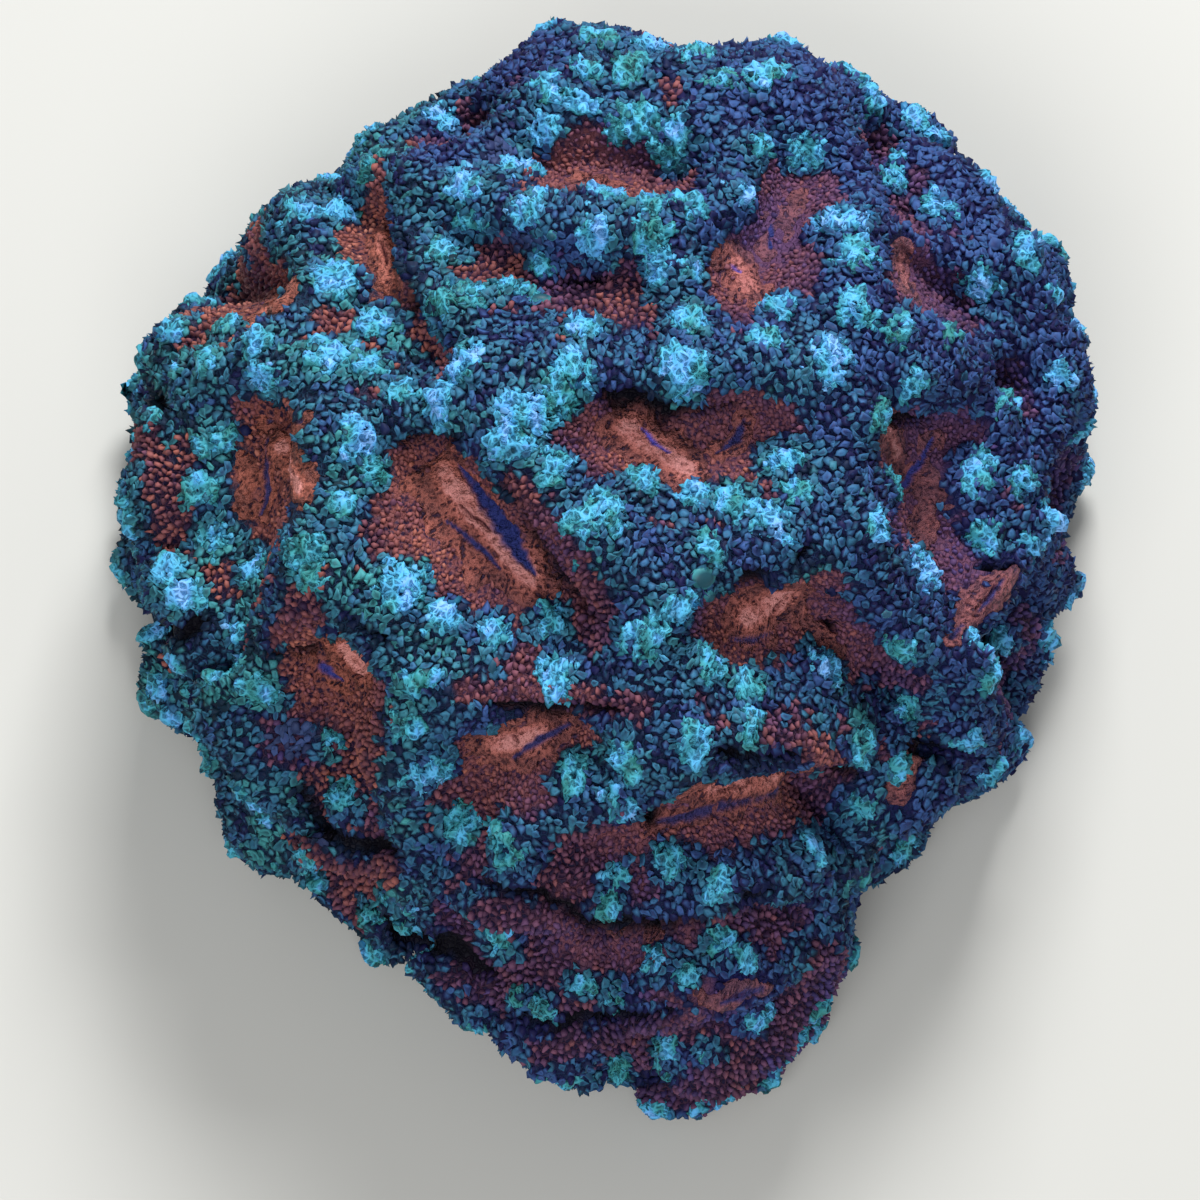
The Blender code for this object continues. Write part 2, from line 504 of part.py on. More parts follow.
main()
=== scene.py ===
"""The looks of an acan coral colony: living tissue, papillae, tufts and mouths, grown on the form of its solid.

Lengths are millimetres until a mesh is made, in metres. The form is the solid's own: a dome over an uneven outline,
with a valley at each polyp's mouth and a ridge between neighbours. Places on the colony are given as (across, up) on
a sloping plane, the one that faces a person who looks down on it from the front.
"""

import math

import bpy
import numpy as np
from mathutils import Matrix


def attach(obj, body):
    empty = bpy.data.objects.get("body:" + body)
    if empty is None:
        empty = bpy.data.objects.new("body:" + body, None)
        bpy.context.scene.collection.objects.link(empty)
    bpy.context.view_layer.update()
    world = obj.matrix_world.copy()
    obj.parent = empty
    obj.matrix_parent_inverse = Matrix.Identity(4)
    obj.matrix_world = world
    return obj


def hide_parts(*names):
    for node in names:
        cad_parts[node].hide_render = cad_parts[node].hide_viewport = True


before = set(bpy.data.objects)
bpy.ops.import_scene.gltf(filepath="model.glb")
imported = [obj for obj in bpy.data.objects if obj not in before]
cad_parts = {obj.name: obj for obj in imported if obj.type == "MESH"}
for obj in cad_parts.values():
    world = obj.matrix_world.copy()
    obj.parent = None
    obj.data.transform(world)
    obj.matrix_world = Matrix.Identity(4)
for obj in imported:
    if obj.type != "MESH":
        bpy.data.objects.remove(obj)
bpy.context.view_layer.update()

MILLIMETRE = 0.001
SEED = 11

# -------------------------------------------------------------------------------------------------------------------
# The form, as the solid has it
# -------------------------------------------------------------------------------------------------------------------

CROWN_HEIGHT = 50.0
GIRDLE_HEIGHT = 12.0
CUT_INSET = 5.0
RIDGE_HEIGHT = 6.2
RIDGE_LEAN = 4.2
USUAL_HALF_CELL = 8.5
TUFT_HEIGHT = 1.1
LIP_HEIGHT = 1.2
SWELL_HEIGHT = 0.8
FOOT_FADE = 7.0
SOFTEN_REACH = 0.8
DOME_POWER = 2.25
FOOT_TURN = math.radians(64.0)
LOBE_START = 0.78
LOBE_EVENING = 120
USUAL_RADIUS = 50.0
MOUTH_STEP = 2.5
LIP_SPREAD = 1.5

# A ridge's section: the level share at the mouth, the powers of its foot and its crown, and its most relative size.
MOUTH_FLOOR = 0.14
RIDGE_FOOT_POWER = 1.5
RIDGE_CROWN_POWER = 2.2
MOST_RIDGE_SIZE = 1.1

# Lean fades where less than this of LEAN_WAY lies along the surface, and tissue rises from the cut this steeply.
LEAST_WAY = 0.45
LEAST_SLOPE = 0.02

PLANE_TILT = math.radians(72.0)
ACROSS = np.array([1.0, 0.0, 0.0])
UP = np.array([0.0, math.sin(PLANE_TILT), math.cos(PLANE_TILT)])
OUT = np.array([0.0, -math.cos(PLANE_TILT), math.sin(PLANE_TILT)])
LEAN_WAY = -0.25 * ACROSS - 0.97 * UP

FAR_AWAY = 99.0
FIT_GRID = 101
FIT_ROUNDS = 6
FIT_BINS = 90
FIT_DIRECTIONS = 180
FIT_PACE = 0.8
FIRST_INSET = 0.6 * RIDGE_HEIGHT
HIT_DEPTHS = np.linspace(75.0, -45.0, 481)
FOOT_SHARPNESS = 3.0
SOLID_GRID = 221
SKIN_GRID = 241

# The colony's outline on the sloping plane, clockwise from the top.
OUTLINE = [
    (0.4, 58.4), (4.4, 57.7), (8.6, 56.0), (12.9, 55.5), (16.0, 55.9), (20.5, 55.4), (26.9, 53.2), (31.5, 50.3),
    (34.3, 49.1), (35.0, 47.1), (36.8, 45.8), (40.1, 43.8), (40.9, 42.0), (41.7, 39.7), (45.5, 36.4), (46.6, 34.5),
    (47.8, 30.8), (48.4, 27.6), (49.5, 23.1), (49.8, 20.0), (50.2, 16.0), (49.7, 12.5), (47.9, 9.3), (48.6, 6.2),
    (47.5, 4.3), (46.0, 2.6), (46.5, 0.2), (45.5, -2.3), (45.8, -4.9), (44.9, -7.0), (42.9, -10.4), (43.2, -14.4),
    (42.2, -16.8), (40.1, -18.7), (35.3, -20.9), (32.0, -25.8), (27.8, -29.2), (26.0, -32.9), (24.1, -36.0),
    (23.3, -39.8), (21.2, -42.8), (20.0, -46.5), (17.0, -48.9), (13.7, -50.1), (11.5, -50.6), (10.6, -51.9),
    (8.8, -52.2), (6.4, -51.1), (4.2, -50.3), (2.8, -48.7), (0.3, -49.1), (-1.6, -49.6), (-3.6, -48.6),
    (-6.0, -48.2), (-8.2, -45.8), (-11.1, -43.7), (-14.9, -41.1), (-17.2, -38.9), (-18.6, -36.9), (-21.0, -36.2),
    (-24.0, -33.8), (-27.2, -31.0), (-31.0, -28.5), (-35.0, -27.4), (-37.2, -24.8), (-38.9, -21.0), (-39.7, -17.0),
    (-41.1, -13.7), (-44.2, -12.0), (-46.0, -8.3), (-46.8, -4.6), (-46.4, -1.9), (-47.6, -0.1), (-49.2, 3.0),
    (-49.9, 5.4), (-49.6, 8.8), (-48.4, 12.7), (-47.4, 16.6), (-47.3, 20.4), (-46.1, 25.2), (-44.1, 28.3),
    (-40.6, 30.6), (-39.3, 32.9), (-38.7, 35.6), (-35.8, 37.6), (-34.2, 39.6), (-31.6, 41.2), (-28.3, 41.9),
    (-26.6, 43.7), (-24.4, 46.4), (-20.4, 48.8), (-15.6, 51.1), (-12.4, 53.6), (-9.0, 55.6), (-5.6, 57.8),
    (-2.5, 58.3),
]

# The line of each polyp's mouth on the sloping plane.
MOUTHS = [
    [(-31.2, 17.4), (-31.0, 12.1), (-33.0, 5.6)],
    [(-16.5, 14.1), (-11.0, 7.1), (-3.5, -0.9)],
    [(3.0, 16.4), (9.0, 14.8), (14.2, 16.8)],
    [(13.0, -1.4), (20.0, -0.8), (24.5, -4.4), (28.0, -8.4)],
    [(-3.0, -12.4), (-9.5, -14.2), (-12.6, -19.4)],
    [(-1.0, -23.4), (6.5, -21.0), (14.0, -18.4), (21.5, -16.4)],
    [(-24.5, -5.4), (-26.5, -9.9), (-23.0, -16.4)],
    [(-5.2, 42.4), (1.0, 42.8), (6.8, 42.2)],
    [(14.0, 32.3), (17.0, 36.1), (19.7, 42.1)],
    [(30.4, 32.8), (34.6, 30.0)],
    [(34.8, 17.6), (30.0, 15.1), (31.2, 8.1)],
    [(42.2, 1.4), (37.0, -2.0), (38.5, -6.0)],
    [(-36.6, 31.6), (-30.5, 30.6)],
    [(-21.5, 36.6), (-21.0, 30.1), (-17.0, 24.6)],
    [(-12.5, -29.2), (-5.0, -32.2), (2.0, -33.4), (9.0, -32.8), (16.0, -31.2)],
    [(-6.0, -43.2), (2.0, -42.8), (10.0, -40.8), (15.5, -38.8)],
    [(-29.6, -22.4), (-25.5, -25.0), (-20.0, -26.0)],
    [(29.5, -19.4), (33.5, -17.6)],
    [(8.0, -49.0), (15.0, -46.2), (21.6, -40.0)],
    [(-45.6, 16.8), (-44.0, 11.8), (-42.6, 6.2)],
    [(-12.0, 35.0), (-5.0, 31.6), (3.0, 31.0)],
    [(-8.0, 55.0)],
    [(6.8, 51.7)],
    [(-19.3, 47.0)],
    [(-11.4, 45.6)],
    [(27.2, 44.8), (29.4, 38.8)],
    [(36.2, 43.2), (39.6, 39.0)],
    [(44.6, 29.0), (46.4, 25.2)],
    [(38.6, 22.6)],
    [(22.6, 52.0)],
    [(43.6, 15.0), (46.6, 12.0)],
    [(-43.6, -3.2), (-39.4, -3.6)],
    [(-38.4, -14.6), (-34.6, -16.2)],
    [(-17.4, -33.8), (-12.0, -37.2)],
    [(25.2, -27.4)],
]

# The raised lips of the open mouths: across, up, turn in degrees, half length, half width.
LIPS = [
    (-30.7, 13.3, -65.0, 2.4, 1.3), (-11.1, 7.4, -50.0, 6.6, 1.9), (5.6, 15.0, -35.0, 3.4, 2.1),
    (16.6, -0.4, 30.0, 2.2, 1.9), (-8.0, -13.5, 15.0, 2.4, 1.7), (12.6, -18.4, 12.0, 4.6, 1.4),
    (-24.2, -5.8, -50.0, 1.2, 1.7), (-0.5, 42.1, -10.0, 1.6, 1.0), (14.2, 32.3, -60.0, 1.3, 1.4),
    (30.2, 32.9, -80.0, 1.4, 1.0), (28.9, 15.9, -70.0, 1.3, 1.1), (38.4, 0.2, 45.0, 2.8, 1.5),
    (-32.8, 29.7, 15.0, 1.2, 0.9), (-21.4, 34.3, -80.0, 2.4, 1.1), (13.6, -39.0, 12.0, 2.0, 1.3),
    (30.6, -17.5, 60.0, 1.5, 1.0),
]

# Mouths on the sides that don't show from the front: direction round the colony in degrees, height above the cut.
FAR_MOUTHS = [
    (52.0, 14.0), (72.0, 20.0), (90.0, 13.0), (108.0, 19.0), (128.0, 13.0), (150.0, 17.0), (26.0, 12.0), (-6.0, 9.0),
    (186.0, 9.0), (-32.0, 9.0), (212.0, 9.0),
]

# Tufts of long papillae on the sloping plane: across, up, half width.
TUFTS = [
    (-0.2, 56.0, 2.4), (4.8, 55.8, 2.2), (8.9, 54.4, 2.2), (-5.0, 51.6, 2.2), (-1.6, 53.0, 2.2), (3.1, 53.2, 2.4),
    (12.6, 51.8, 2.2), (16.7, 52.4, 2.8), (-5.6, 47.6, 2.0), (-2.0, 49.6, 1.8), (3.4, 47.4, 3.0), (8.1, 47.0, 2.4),
    (7.6, 44.6, 2.0), (15.2, 45.6, 2.2), (21.2, 45.6, 2.6), (27.5, 50.8, 2.4), (32.5, 48.2, 2.4), (38.8, 42.4, 2.0),
    (30.8, 44.8, 2.0), (29.7, 42.4, 2.4), (34.0, 39.8, 2.2), (14.0, 40.4, 2.0), (-8.4, 43.2, 2.6),
    (-13.0, 41.0, 2.4), (-12.6, 38.2, 2.4), (-16.2, 48.4, 2.2), (-0.2, 40.0, 2.4), (-0.4, 35.6, 2.8),
    (5.0, 39.0, 2.0), (8.2, 39.2, 2.4), (5.0, 36.2, 2.2), (6.8, 32.8, 2.8), (-6.8, 38.4, 2.6), (-5.8, 34.0, 1.9),
    (-15.4, 34.2, 2.4), (-14.6, 29.6, 3.0), (-9.6, 30.4, 2.4), (24.0, 37.8, 2.8), (25.2, 34.2, 2.6),
    (37.6, 32.4, 2.6), (43.0, 34.8, 2.2), (44.8, 31.2, 2.0), (-22.8, 44.0, 2.0), (-30.0, 39.0, 2.2),
    (-26.8, 39.2, 2.4), (-26.2, 31.8, 3.2), (-22.0, 27.4, 2.4), (-26.4, 24.0, 3.0), (-23.0, 22.8, 2.2),
    (-33.6, 25.6, 2.0), (-32.8, 22.2, 2.8), (-38.6, 23.6, 2.2), (-37.4, 27.2, 1.6), (-42.2, 27.4, 2.0),
    (-42.0, 22.6, 2.4), (-19.8, 19.6, 2.2), (-15.4, 19.6, 2.2), (-13.0, 23.2, 2.6), (-24.0, 16.0, 2.6),
    (-23.0, 13.0, 2.2), (-1.6, 26.2, 2.4), (-2.2, 22.4, 2.4), (8.6, 26.8, 2.2), (8.6, 22.6, 3.0), (17.4, 28.8, 2.2),
    (15.9, 24.9, 2.4), (25.4, 28.6, 2.6), (22.0, 23.0, 3.0), (28.6, 26.4, 2.0), (31.4, 21.6, 2.2),
    (26.8, 18.4, 2.2), (34.4, 26.2, 1.8), (40.6, 19.2, 2.4), (46.6, 22.4, 1.8), (48.6, 17.0, 1.8),
    (-7.4, 18.2, 3.2), (-8.6, 15.2, 2.6), (-3.8, 20.2, 2.4), (-4.8, 12.6, 2.4), (-0.2, 8.0, 3.4), (3.6, 11.4, 2.4),
    (9.2, 9.6, 2.4), (13.2, 9.6, 2.6), (18.4, 13.8, 2.4), (20.0, 10.4, 2.2), (16.6, 7.0, 2.4), (10.6, 5.0, 2.0),
    (29.0, 11.4, 1.8), (26.4, 7.4, 2.4), (37.4, 12.2, 2.8), (41.6, 12.4, 2.0), (44.8, 8.8, 2.0), (38.4, 6.2, 2.0),
    (43.4, 6.4, 2.0), (-38.0, 16.2, 2.6), (-39.6, 10.8, 2.4), (-38.4, 6.0, 2.6), (-47.6, 10.8, 1.8),
    (-46.8, 7.2, 2.0), (-43.2, 3.2, 2.4), (-41.4, 0.6, 2.2), (-34.2, 2.6, 2.4), (-35.8, -2.4, 2.4),
    (-37.4, -6.8, 2.4), (-34.0, -8.2, 2.6), (-25.2, 9.6, 2.0), (-28.8, 5.2, 2.6), (-28.0, 2.6, 2.0),
    (-46.0, -4.0, 1.8), (-45.0, -8.8, 2.0), (-41.6, -8.8, 1.8), (-43.4, -11.8, 1.8), (-19.6, 1.0, 3.4),
    (-15.6, -2.4, 2.4), (-10.0, -3.0, 2.0), (-5.0, -2.8, 2.4), (-4.0, -7.6, 2.6), (4.0, -2.8, 2.8),
    (7.2, -0.8, 2.6), (10.0, -6.6, 2.6), (14.0, -8.8, 2.2), (21.6, -6.8, 2.4), (14.4, -12.0, 2.0),
    (9.0, -13.8, 2.2), (29.6, -11.4, 2.4), (29.6, -15.8, 1.8), (25.8, -14.4, 2.2), (32.0, 2.8, 3.0),
    (30.2, -5.0, 2.2), (40.4, -3.6, 2.2), (38.4, -7.8, 2.2), (45.2, -3.6, 1.6), (36.0, -13.8, 2.2),
    (42.0, -14.6, 1.8), (39.2, -17.0, 1.8), (-17.4, -7.6, 2.4), (-18.8, -11.6, 2.2), (-17.4, -16.6, 3.0),
    (-27.4, -13.6, 1.9), (-25.4, -19.8, 2.2), (-14.0, -22.4, 2.8), (-9.0, -23.8, 2.4), (-35.2, -18.8, 2.2),
    (-33.6, -22.0, 2.0), (-34.0, -26.4, 2.0), (-29.2, -28.4, 1.8), (-2.4, -16.8, 2.2), (3.0, -15.6, 2.4),
    (1.4, -19.6, 2.0), (6.6, -25.8, 2.4), (1.6, -27.0, 2.0), (1.0, -30.2, 1.8), (12.0, -27.8, 2.2),
    (20.4, -24.2, 2.2), (26.4, -20.0, 2.0), (30.4, -24.8, 2.2), (26.2, -27.8, 2.0), (-23.2, -31.8, 2.0),
    (-19.8, -32.8, 2.0), (-21.4, -29.8, 1.8), (-9.6, -33.8, 2.0), (6.0, -35.8, 2.0), (8.4, -37.4, 2.0),
    (12.0, -34.2, 2.2), (14.2, -35.6, 1.8), (1.2, -38.9, 1.8), (-2.2, -37.8, 1.6), (-8.0, -39.8, 1.8),
    (-4.8, -40.6, 2.0), (15.2, -41.4, 2.4), (7.0, -44.2, 2.2), (6.4, -46.6, 2.0), (2.0, -46.8, 2.0),
    (11.0, -45.0, 1.8), (20.2, -44.0, 1.8), (-6.0, -47.2, 1.8), (-2.2, -48.0, 1.8), (9.6, -51.0, 2.0),
    (16.6, -48.2, 1.8),
]
FAR_TUFT_SPACING = 6.5
FAR_TUFT_WIDTH = 2.3
CREST_SHARE = 0.85
LOWEST_TUFT = 4.0
SIGHT_RADIUS = 0.9
SIGHT_DEPTH = 1.2

# A tuft's half length across its ridge and along it, in its half widths, and the same for the lump that it stands on.
TUFT_LONG, TUFT_SHORT = 0.98, 0.82
LUMP_LONG, LUMP_SHORT = 1.7, 1.3

# Deep clefts between folds, too narrow for the solid: (across, up, half width) along each one.
# Round each cleft the flesh and papillae are also painted dark: painted shade.
CLEFTS = [
    [(0.3, 20.3, 0.3), (1.8, 19.6, 0.8), (4.2, 19.6, 0.7), (6.5, 18.1, 0.6), (9.4, 18.5, 0.3), (13.6, 19.2, 0.15)],
    [(-45.3, 20.8, 0.5), (-44.0, 19.4, 0.6)],
    [(-46.0, -1.4, 0.4), (-43.8, -3.2, 0.6), (-42.0, -3.6, 0.7), (-40.0, -2.3, 0.8)],
    [(-10.4, -10.3, 0.3), (-7.5, -10.6, 0.6), (-4.0, -11.1, 0.5), (-2.0, -10.6, 0.4), (1.6, -10.6, 0.2)],
    [(12.2, -14.6, 0.5), (14.0, -15.6, 0.45), (16.6, -15.4, 0.3), (18.5, -15.4, 0.35), (20.2, -15.2, 0.25)],
    [(22.4, -16.8, 0.2), (24.5, -17.1, 0.5), (26.2, -17.5, 0.3)],
    [(31.3, -14.3, 0.3), (32.6, -14.8, 0.5), (36.5, -15.2, 0.2)],
    [(-29.3, -18.9, 0.6), (-28.5, -21.5, 0.5), (-27.0, -23.6, 0.6), (-24.3, -24.8, 0.8), (-22.0, -24.0, 0.7),
     (-20.5, -25.2, 0.4), (-19.3, -25.8, 0.2)],
    [(-11.8, -27.4, 0.3), (-9.5, -28.8, 0.4), (-6.0, -28.8, 0.45), (-3.2, -30.2, 0.6), (-1.0, -32.3, 0.7),
     (2.5, -32.2, 0.8), (6.0, -32.3, 0.5), (10.6, -31.8, 0.3)],
    [(13.4, -30.0, 0.2), (15.4, -29.4, 0.6), (17.0, -28.6, 0.3)],
    [(17.5, -30.6, 0.3), (19.0, -30.6, 0.3)],
    [(-22.5, -31.8, 0.5), (-20.5, -34.2, 0.7), (-17.0, -34.6, 1.1), (-15.0, -34.5, 1.2), (-12.5, -36.5, 0.7),
     (-10.6, -37.6, 0.3)],
    [(-9.6, -41.2, 0.3), (-6.8, -42.0, 0.4), (-4.5, -42.8, 0.6), (-1.8, -41.6, 0.5), (1.5, -41.6, 0.6),
     (4.5, -41.2, 0.35), (8.5, -40.3, 0.2)],
    [(13.3, 1.3, 0.25), (15.2, 2.1, 0.8), (16.4, 2.4, 0.4)],
    [(19.7, 4.0, 0.4), (20.5, 5.2, 0.5)],
    [(29.0, 17.8, 0.3), (31.0, 17.8, 0.35), (33.0, 18.0, 0.15)],
    [(22.9, 0.8, 0.1), (23.6, 0.0, 0.15)],
    [(22.2, -1.8, 0.1), (23.4, -2.8, 0.15)],
    [(-24.8, -1.2, 0.3), (-23.6, -2.6, 0.25), (-21.0, -3.9, 0.3)],
    [(-32.6, -5.4, 0.35), (-30.3, -5.2, 0.2), (-28.0, -4.8, 0.35)],
    [(-19.0, 30.0, 0.4), (-18.4, 28.8, 0.3)],
    [(38.2, 3.7, 0.1), (39.6, 3.6, 0.15), (41.2, 3.9, 0.1)],
    [(5.0, -21.6, 0.4), (5.4, -21.0, 0.4)],
    [(4.8, -48.2, 0.5), (6.5, -48.4, 0.5)],
    [(-9.6, 11.6, 0.15), (-6.8, 6.6, 0.3), (-4.0, 2.4, 0.35), (-0.8, -1.6, 0.2)],
    [(-19.4, 15.6, 0.25), (-16.4, 16.2, 0.35), (-13.6, 15.6, 0.2)],
    [(-4.0, 31.8, 0.12), (0.6, 31.9, 0.15)],
    [(-19.6, 36.4, 0.15), (-19.2, 32.6, 0.35), (-18.8, 29.6, 0.3)],
]
CLEFT_DEPTH = 1.7
CLEFT_MARGIN = 0.1
CLEFT_SLOPE = (0.4, 2.0)


def smoothstep(low, high, value):
    """Rises from 0 to 1 between low and high, level at both ends."""
    share = np.clip((value - low) / (high - low), 0.0, 1.0)
    return share * share * (3.0 - 2.0 * share)


def unit(vectors):
    """Vectors at length 1."""
    return vectors / np.maximum(np.linalg.norm(vectors, axis=-1, keepdims=True), 1e-9)


def dot(first, second):
    """The dot product of each pair of vectors."""
    return (first * second).sum(axis=-1)


def outline_reach(directions):
    """How far the outline is from the girdle's centre on the sloping plane, in each direction."""
    points = np.array(OUTLINE) - (0.0, GIRDLE_HEIGHT * UP[2])
    angle = np.arctan2(points[:, 1], points[:, 0])
    order = np.argsort(angle)
    return np.interp(directions, angle[order], np.hypot(*points.T)[order], period=math.tau)


def profile():
    """The dome's section, from the crown to the cut: share of the girdle's radius, height, distance run along it.

    It is a quarter of a superellipse above the girdle, and an arc of an ellipse below.
    """
    phi = np.linspace(0.0, math.pi / 2, 300)
    share = np.sin(phi) ** (2.0 / DOME_POWER)
    height = GIRDLE_HEIGHT + (CROWN_HEIGHT - GIRDLE_HEIGHT) * np.cos(phi) ** (2.0 / DOME_POWER)
    psi = np.linspace(0.0, FOOT_TURN, 40)[1:]
    foot_share = 1.0 - (CUT_INSET / USUAL_RADIUS) * (1.0 - np.cos(psi)) / (1.0 - math.cos(FOOT_TURN))
    foot_height = GIRDLE_HEIGHT * (1.0 - np.sin(psi) / math.sin(FOOT_TURN))
    share = np.concatenate([share, foot_share])
    height = np.concatenate([height, foot_height])
    steps = np.hypot(USUAL_RADIUS * np.diff(share), np.diff(height))
    return share, height, np.concatenate([[0.0], np.cumsum(steps)])


def disc_grid(count):
    """A square grid laid on a disc: each square ring becomes a round one."""
    line = np.linspace(-1.0, 1.0, count)
    u, v = np.meshgrid(line, line, indexing="ij")
    flat = np.abs(u) >= np.abs(v)
    radius = np.where(flat, u, v)
    safe = np.where(np.abs(radius) < 1e-9, 1.0, radius)
    angle = np.where(flat, (math.pi / 4) * v / safe, math.pi / 2 - (math.pi / 4) * u / safe)
    return radius * np.cos(angle), radius * np.sin(angle)


def evened(ring, rounds):
    """A closed ring of values, averaged with their neighbours a number of times."""
    for _ in range(rounds):
        ring = 0.5 * ring + 0.25 * (np.roll(ring, 1) + np.roll(ring, -1))
    return ring


class Dome:
    """The colony's form without its ridges, over a girdle whose radius is given for directions all round."""

    def __init__(self, girdle):
        self.girdle = girdle
        self.even_girdle = evened(girdle, LOBE_EVENING)
        self.directions = np.linspace(-math.pi, math.pi, len(girdle), endpoint=False)
        self.share, self.height, self.run = profile()

    def edge(self, direction, share):
        """The girdle's radius, as it counts at a share of the way out from the dome's axis."""
        even = np.interp(direction, self.directions, self.even_girdle, period=math.tau)
        lobed = np.interp(direction, self.directions, self.girdle, period=math.tau)
        return even + (lobed - even) * smoothstep(LOBE_START, 1.0, share)

    def points(self, count):
        """The grid's points on the dome, and each one's distance along the section to the cut."""
        x, y = disc_grid(count)
        reach = np.hypot(x, y) * self.run[-1]
        direction = np.arctan2(y, x)
        share = np.interp(reach, self.run, self.share)
        height = np.interp(reach, self.run, self.height)
        radius = share * self.edge(direction, np.where(height < GIRDLE_HEIGHT, 1.0, share))
        height[[0, -1], :] = 0.0
        height[:, [0, -1]] = 0.0
        points = np.stack([radius * np.cos(direction), radius * np.sin(direction), height], axis=-1)
        return points, self.run[-1] - reach

    def hit(self, places):
        """The first point of the dome met from outside along the sloping plane's normal, at each (across, up)."""
        places = np.asarray(places, float).reshape(-1, 2)
        line = places[:, :1, None] * ACROSS + places[:, 1:, None] * UP + HIT_DEPTHS[None, :, None] * OUT
        radius = np.hypot(line[..., 0], line[..., 1])
        direction = np.arctan2(line[..., 1], line[..., 0])
        edge = self.edge(direction, radius / self.edge(direction, 0.0))
        rise = (line[..., 2] - GIRDLE_HEIGHT) / (CROWN_HEIGHT - GIRDLE_HEIGHT)
        rise = np.where(rise < 0.0, rise * FOOT_SHARPNESS, rise)
        form = (radius / edge) ** DOME_POWER + np.abs(rise) ** DOME_POWER
        inside = form <= 1.0
        first = np.where(inside.any(axis=1), inside.argmax(axis=1), form.argmin(axis=1))
        return line[np.arange(len(places)), first]

    def side(self, direction, height):
        """The point of the dome at a direction in degrees and a height."""
        direction = math.radians(direction)
        fall = ((height - GIRDLE_HEIGHT) / (CROWN_HEIGHT - GIRDLE_HEIGHT)) if height > GIRDLE_HEIGHT else 0.0
        radius = self.edge(direction, 1.0) * (1.0 - fall**DOME_POWER) ** (1.0 / DOME_POWER)
        return np.array([radius * math.cos(direction), radius * math.sin(direction), height])


def mouth_lines(dome):
    """Each mouth's line as points on the dome, about MOUTH_STEP apart."""
    lines = []
    for line in MOUTHS:
        places = [np.array(line[0])]
        for start, end in zip(line, line[1:]):
            start, end = np.array(start), np.array(end)
            steps = max(1, round(float(np.linalg.norm(end - start)) / MOUTH_STEP))
            places += [start + (end - start) * k / steps for k in range(1, steps + 1)]
        lines.append(dome.hit(places))
    lines += [dome.side(*place)[None] for place in FAR_MOUTHS]
    return lines


def lip_lines(on):
    """Each pair of lips as a short line and its half width. on lays (across, up) places on a surface."""
    lines = []
    for across, up, turn, half_length, half_width in LIPS:
        step = half_length * np.array([math.cos(math.radians(turn)), math.sin(math.radians(turn))])
        middle = np.array([across, up])
        lines.append((on([middle - step, middle, middle + step]), half_width))
    return lines


def parted(line):
    """A line of (across, up, half width) as its places and its half widths."""
    table = np.array(line)
    return table[:, :2], table[:, 2]


def seen_from_front(points):
    """Each point's (across, up) on the sloping plane."""
    return np.stack([points @ ACROSS, points @ UP], axis=-1)


def nearest_on_line(points, line):
    """The point of an open line that is nearest to each point, and how far it is."""
    best = line[0] + 0.0 * points
    gap = np.linalg.norm(points - best, axis=-1)
    for start, end in zip(line, line[1:]):
        along = end - start
        share = np.clip((points - start) @ along / max(along @ along, 1e-9), 0.0, 1.0)
        found = start + share[..., None] * along
        distance = np.linalg.norm(points - found, axis=-1)
        closer = distance < gap
        best[closer] = found[closer]
        gap = np.minimum(gap, distance)
    return best, gap


def tapered_gap(points, lines):
    """Each point's distance to the nearest of several lines, in half widths, which change along a line.

    Also the number of the nearest line.
    """
    least = np.full(points.shape[:-1], FAR_AWAY)
    which = np.zeros(points.shape[:-1], int)
    for number, (line, halves) in enumerate(lines):
        for start, end, low, high in zip(line, line[1:], halves, halves[1:]):
            along = end - start
            share = np.clip((points - start) @ along / max(along @ along, 1e-9), 0.0, 1.0)
            gap = np.linalg.norm(points - start - share[..., None] * along, axis=-1) / (low + (high - low) * share)
            which[gap < least] = number
            least = np.minimum(least, gap)
    return least, which


def cells(points, to_cut, lines):
    """For each point: its distances to the nearest and the next mouth, and those two mouths' nearest points.

    The edge of the cut counts as one more mouth, so that the tissue turns in to it.
    """
    first = to_cut + 0.0
    second = np.full(first.shape, 1e6)
    near = points + [0.0, 0.0, -1.0]
    after = near.copy()
    for line in lines:
        found, gap = nearest_on_line(points, line)
        wins = gap < first
        runs_up = ~wins & (gap < second)
        second = np.where(wins, first, np.where(runs_up, gap, second))
        after[wins] = near[wins]
        after[runs_up] = found[runs_up]
        first = np.where(wins, gap, first)
        near[wins] = found[wins]
    return first, second, near, after


def normals(points):
    """The outward normal of a grid of points."""
    return unit(np.cross(np.gradient(points, axis=0), np.gradient(points, axis=1)))


def softened(shift, points):
    """A grid of shifts, averaged with their neighbours over about SOFTEN_REACH millimetres, and kept at the edge."""
    spacing = float(np.median(np.linalg.norm(np.diff(points, axis=0), axis=-1)))
    for _ in range(max(1, round(2.0 * (SOFTEN_REACH / spacing) ** 2))):
        middle = 0.5 * shift[1:-1, 1:-1]
        sides = shift[:-2, 1:-1] + shift[2:, 1:-1] + shift[1:-1, :-2] + shift[1:-1, 2:]
        shift = shift.copy()
        shift[1:-1, 1:-1] = middle + 0.125 * sides
    return shift


def swell(points):
    """A gentle unevenness from -1 to 1: the mean of four waves 18 to 32 mm long."""
    x, y, z = (points[..., k] for k in range(3))
    waves = np.sin(0.16 * x + 0.11 * y + 0.4) + np.sin(0.21 * y - 0.13 * z + 2.1)
    return (waves + np.sin(0.14 * z - 0.19 * x + 1.3) + np.sin(0.27 * x + 0.23 * y + 3.3)) / 4.0


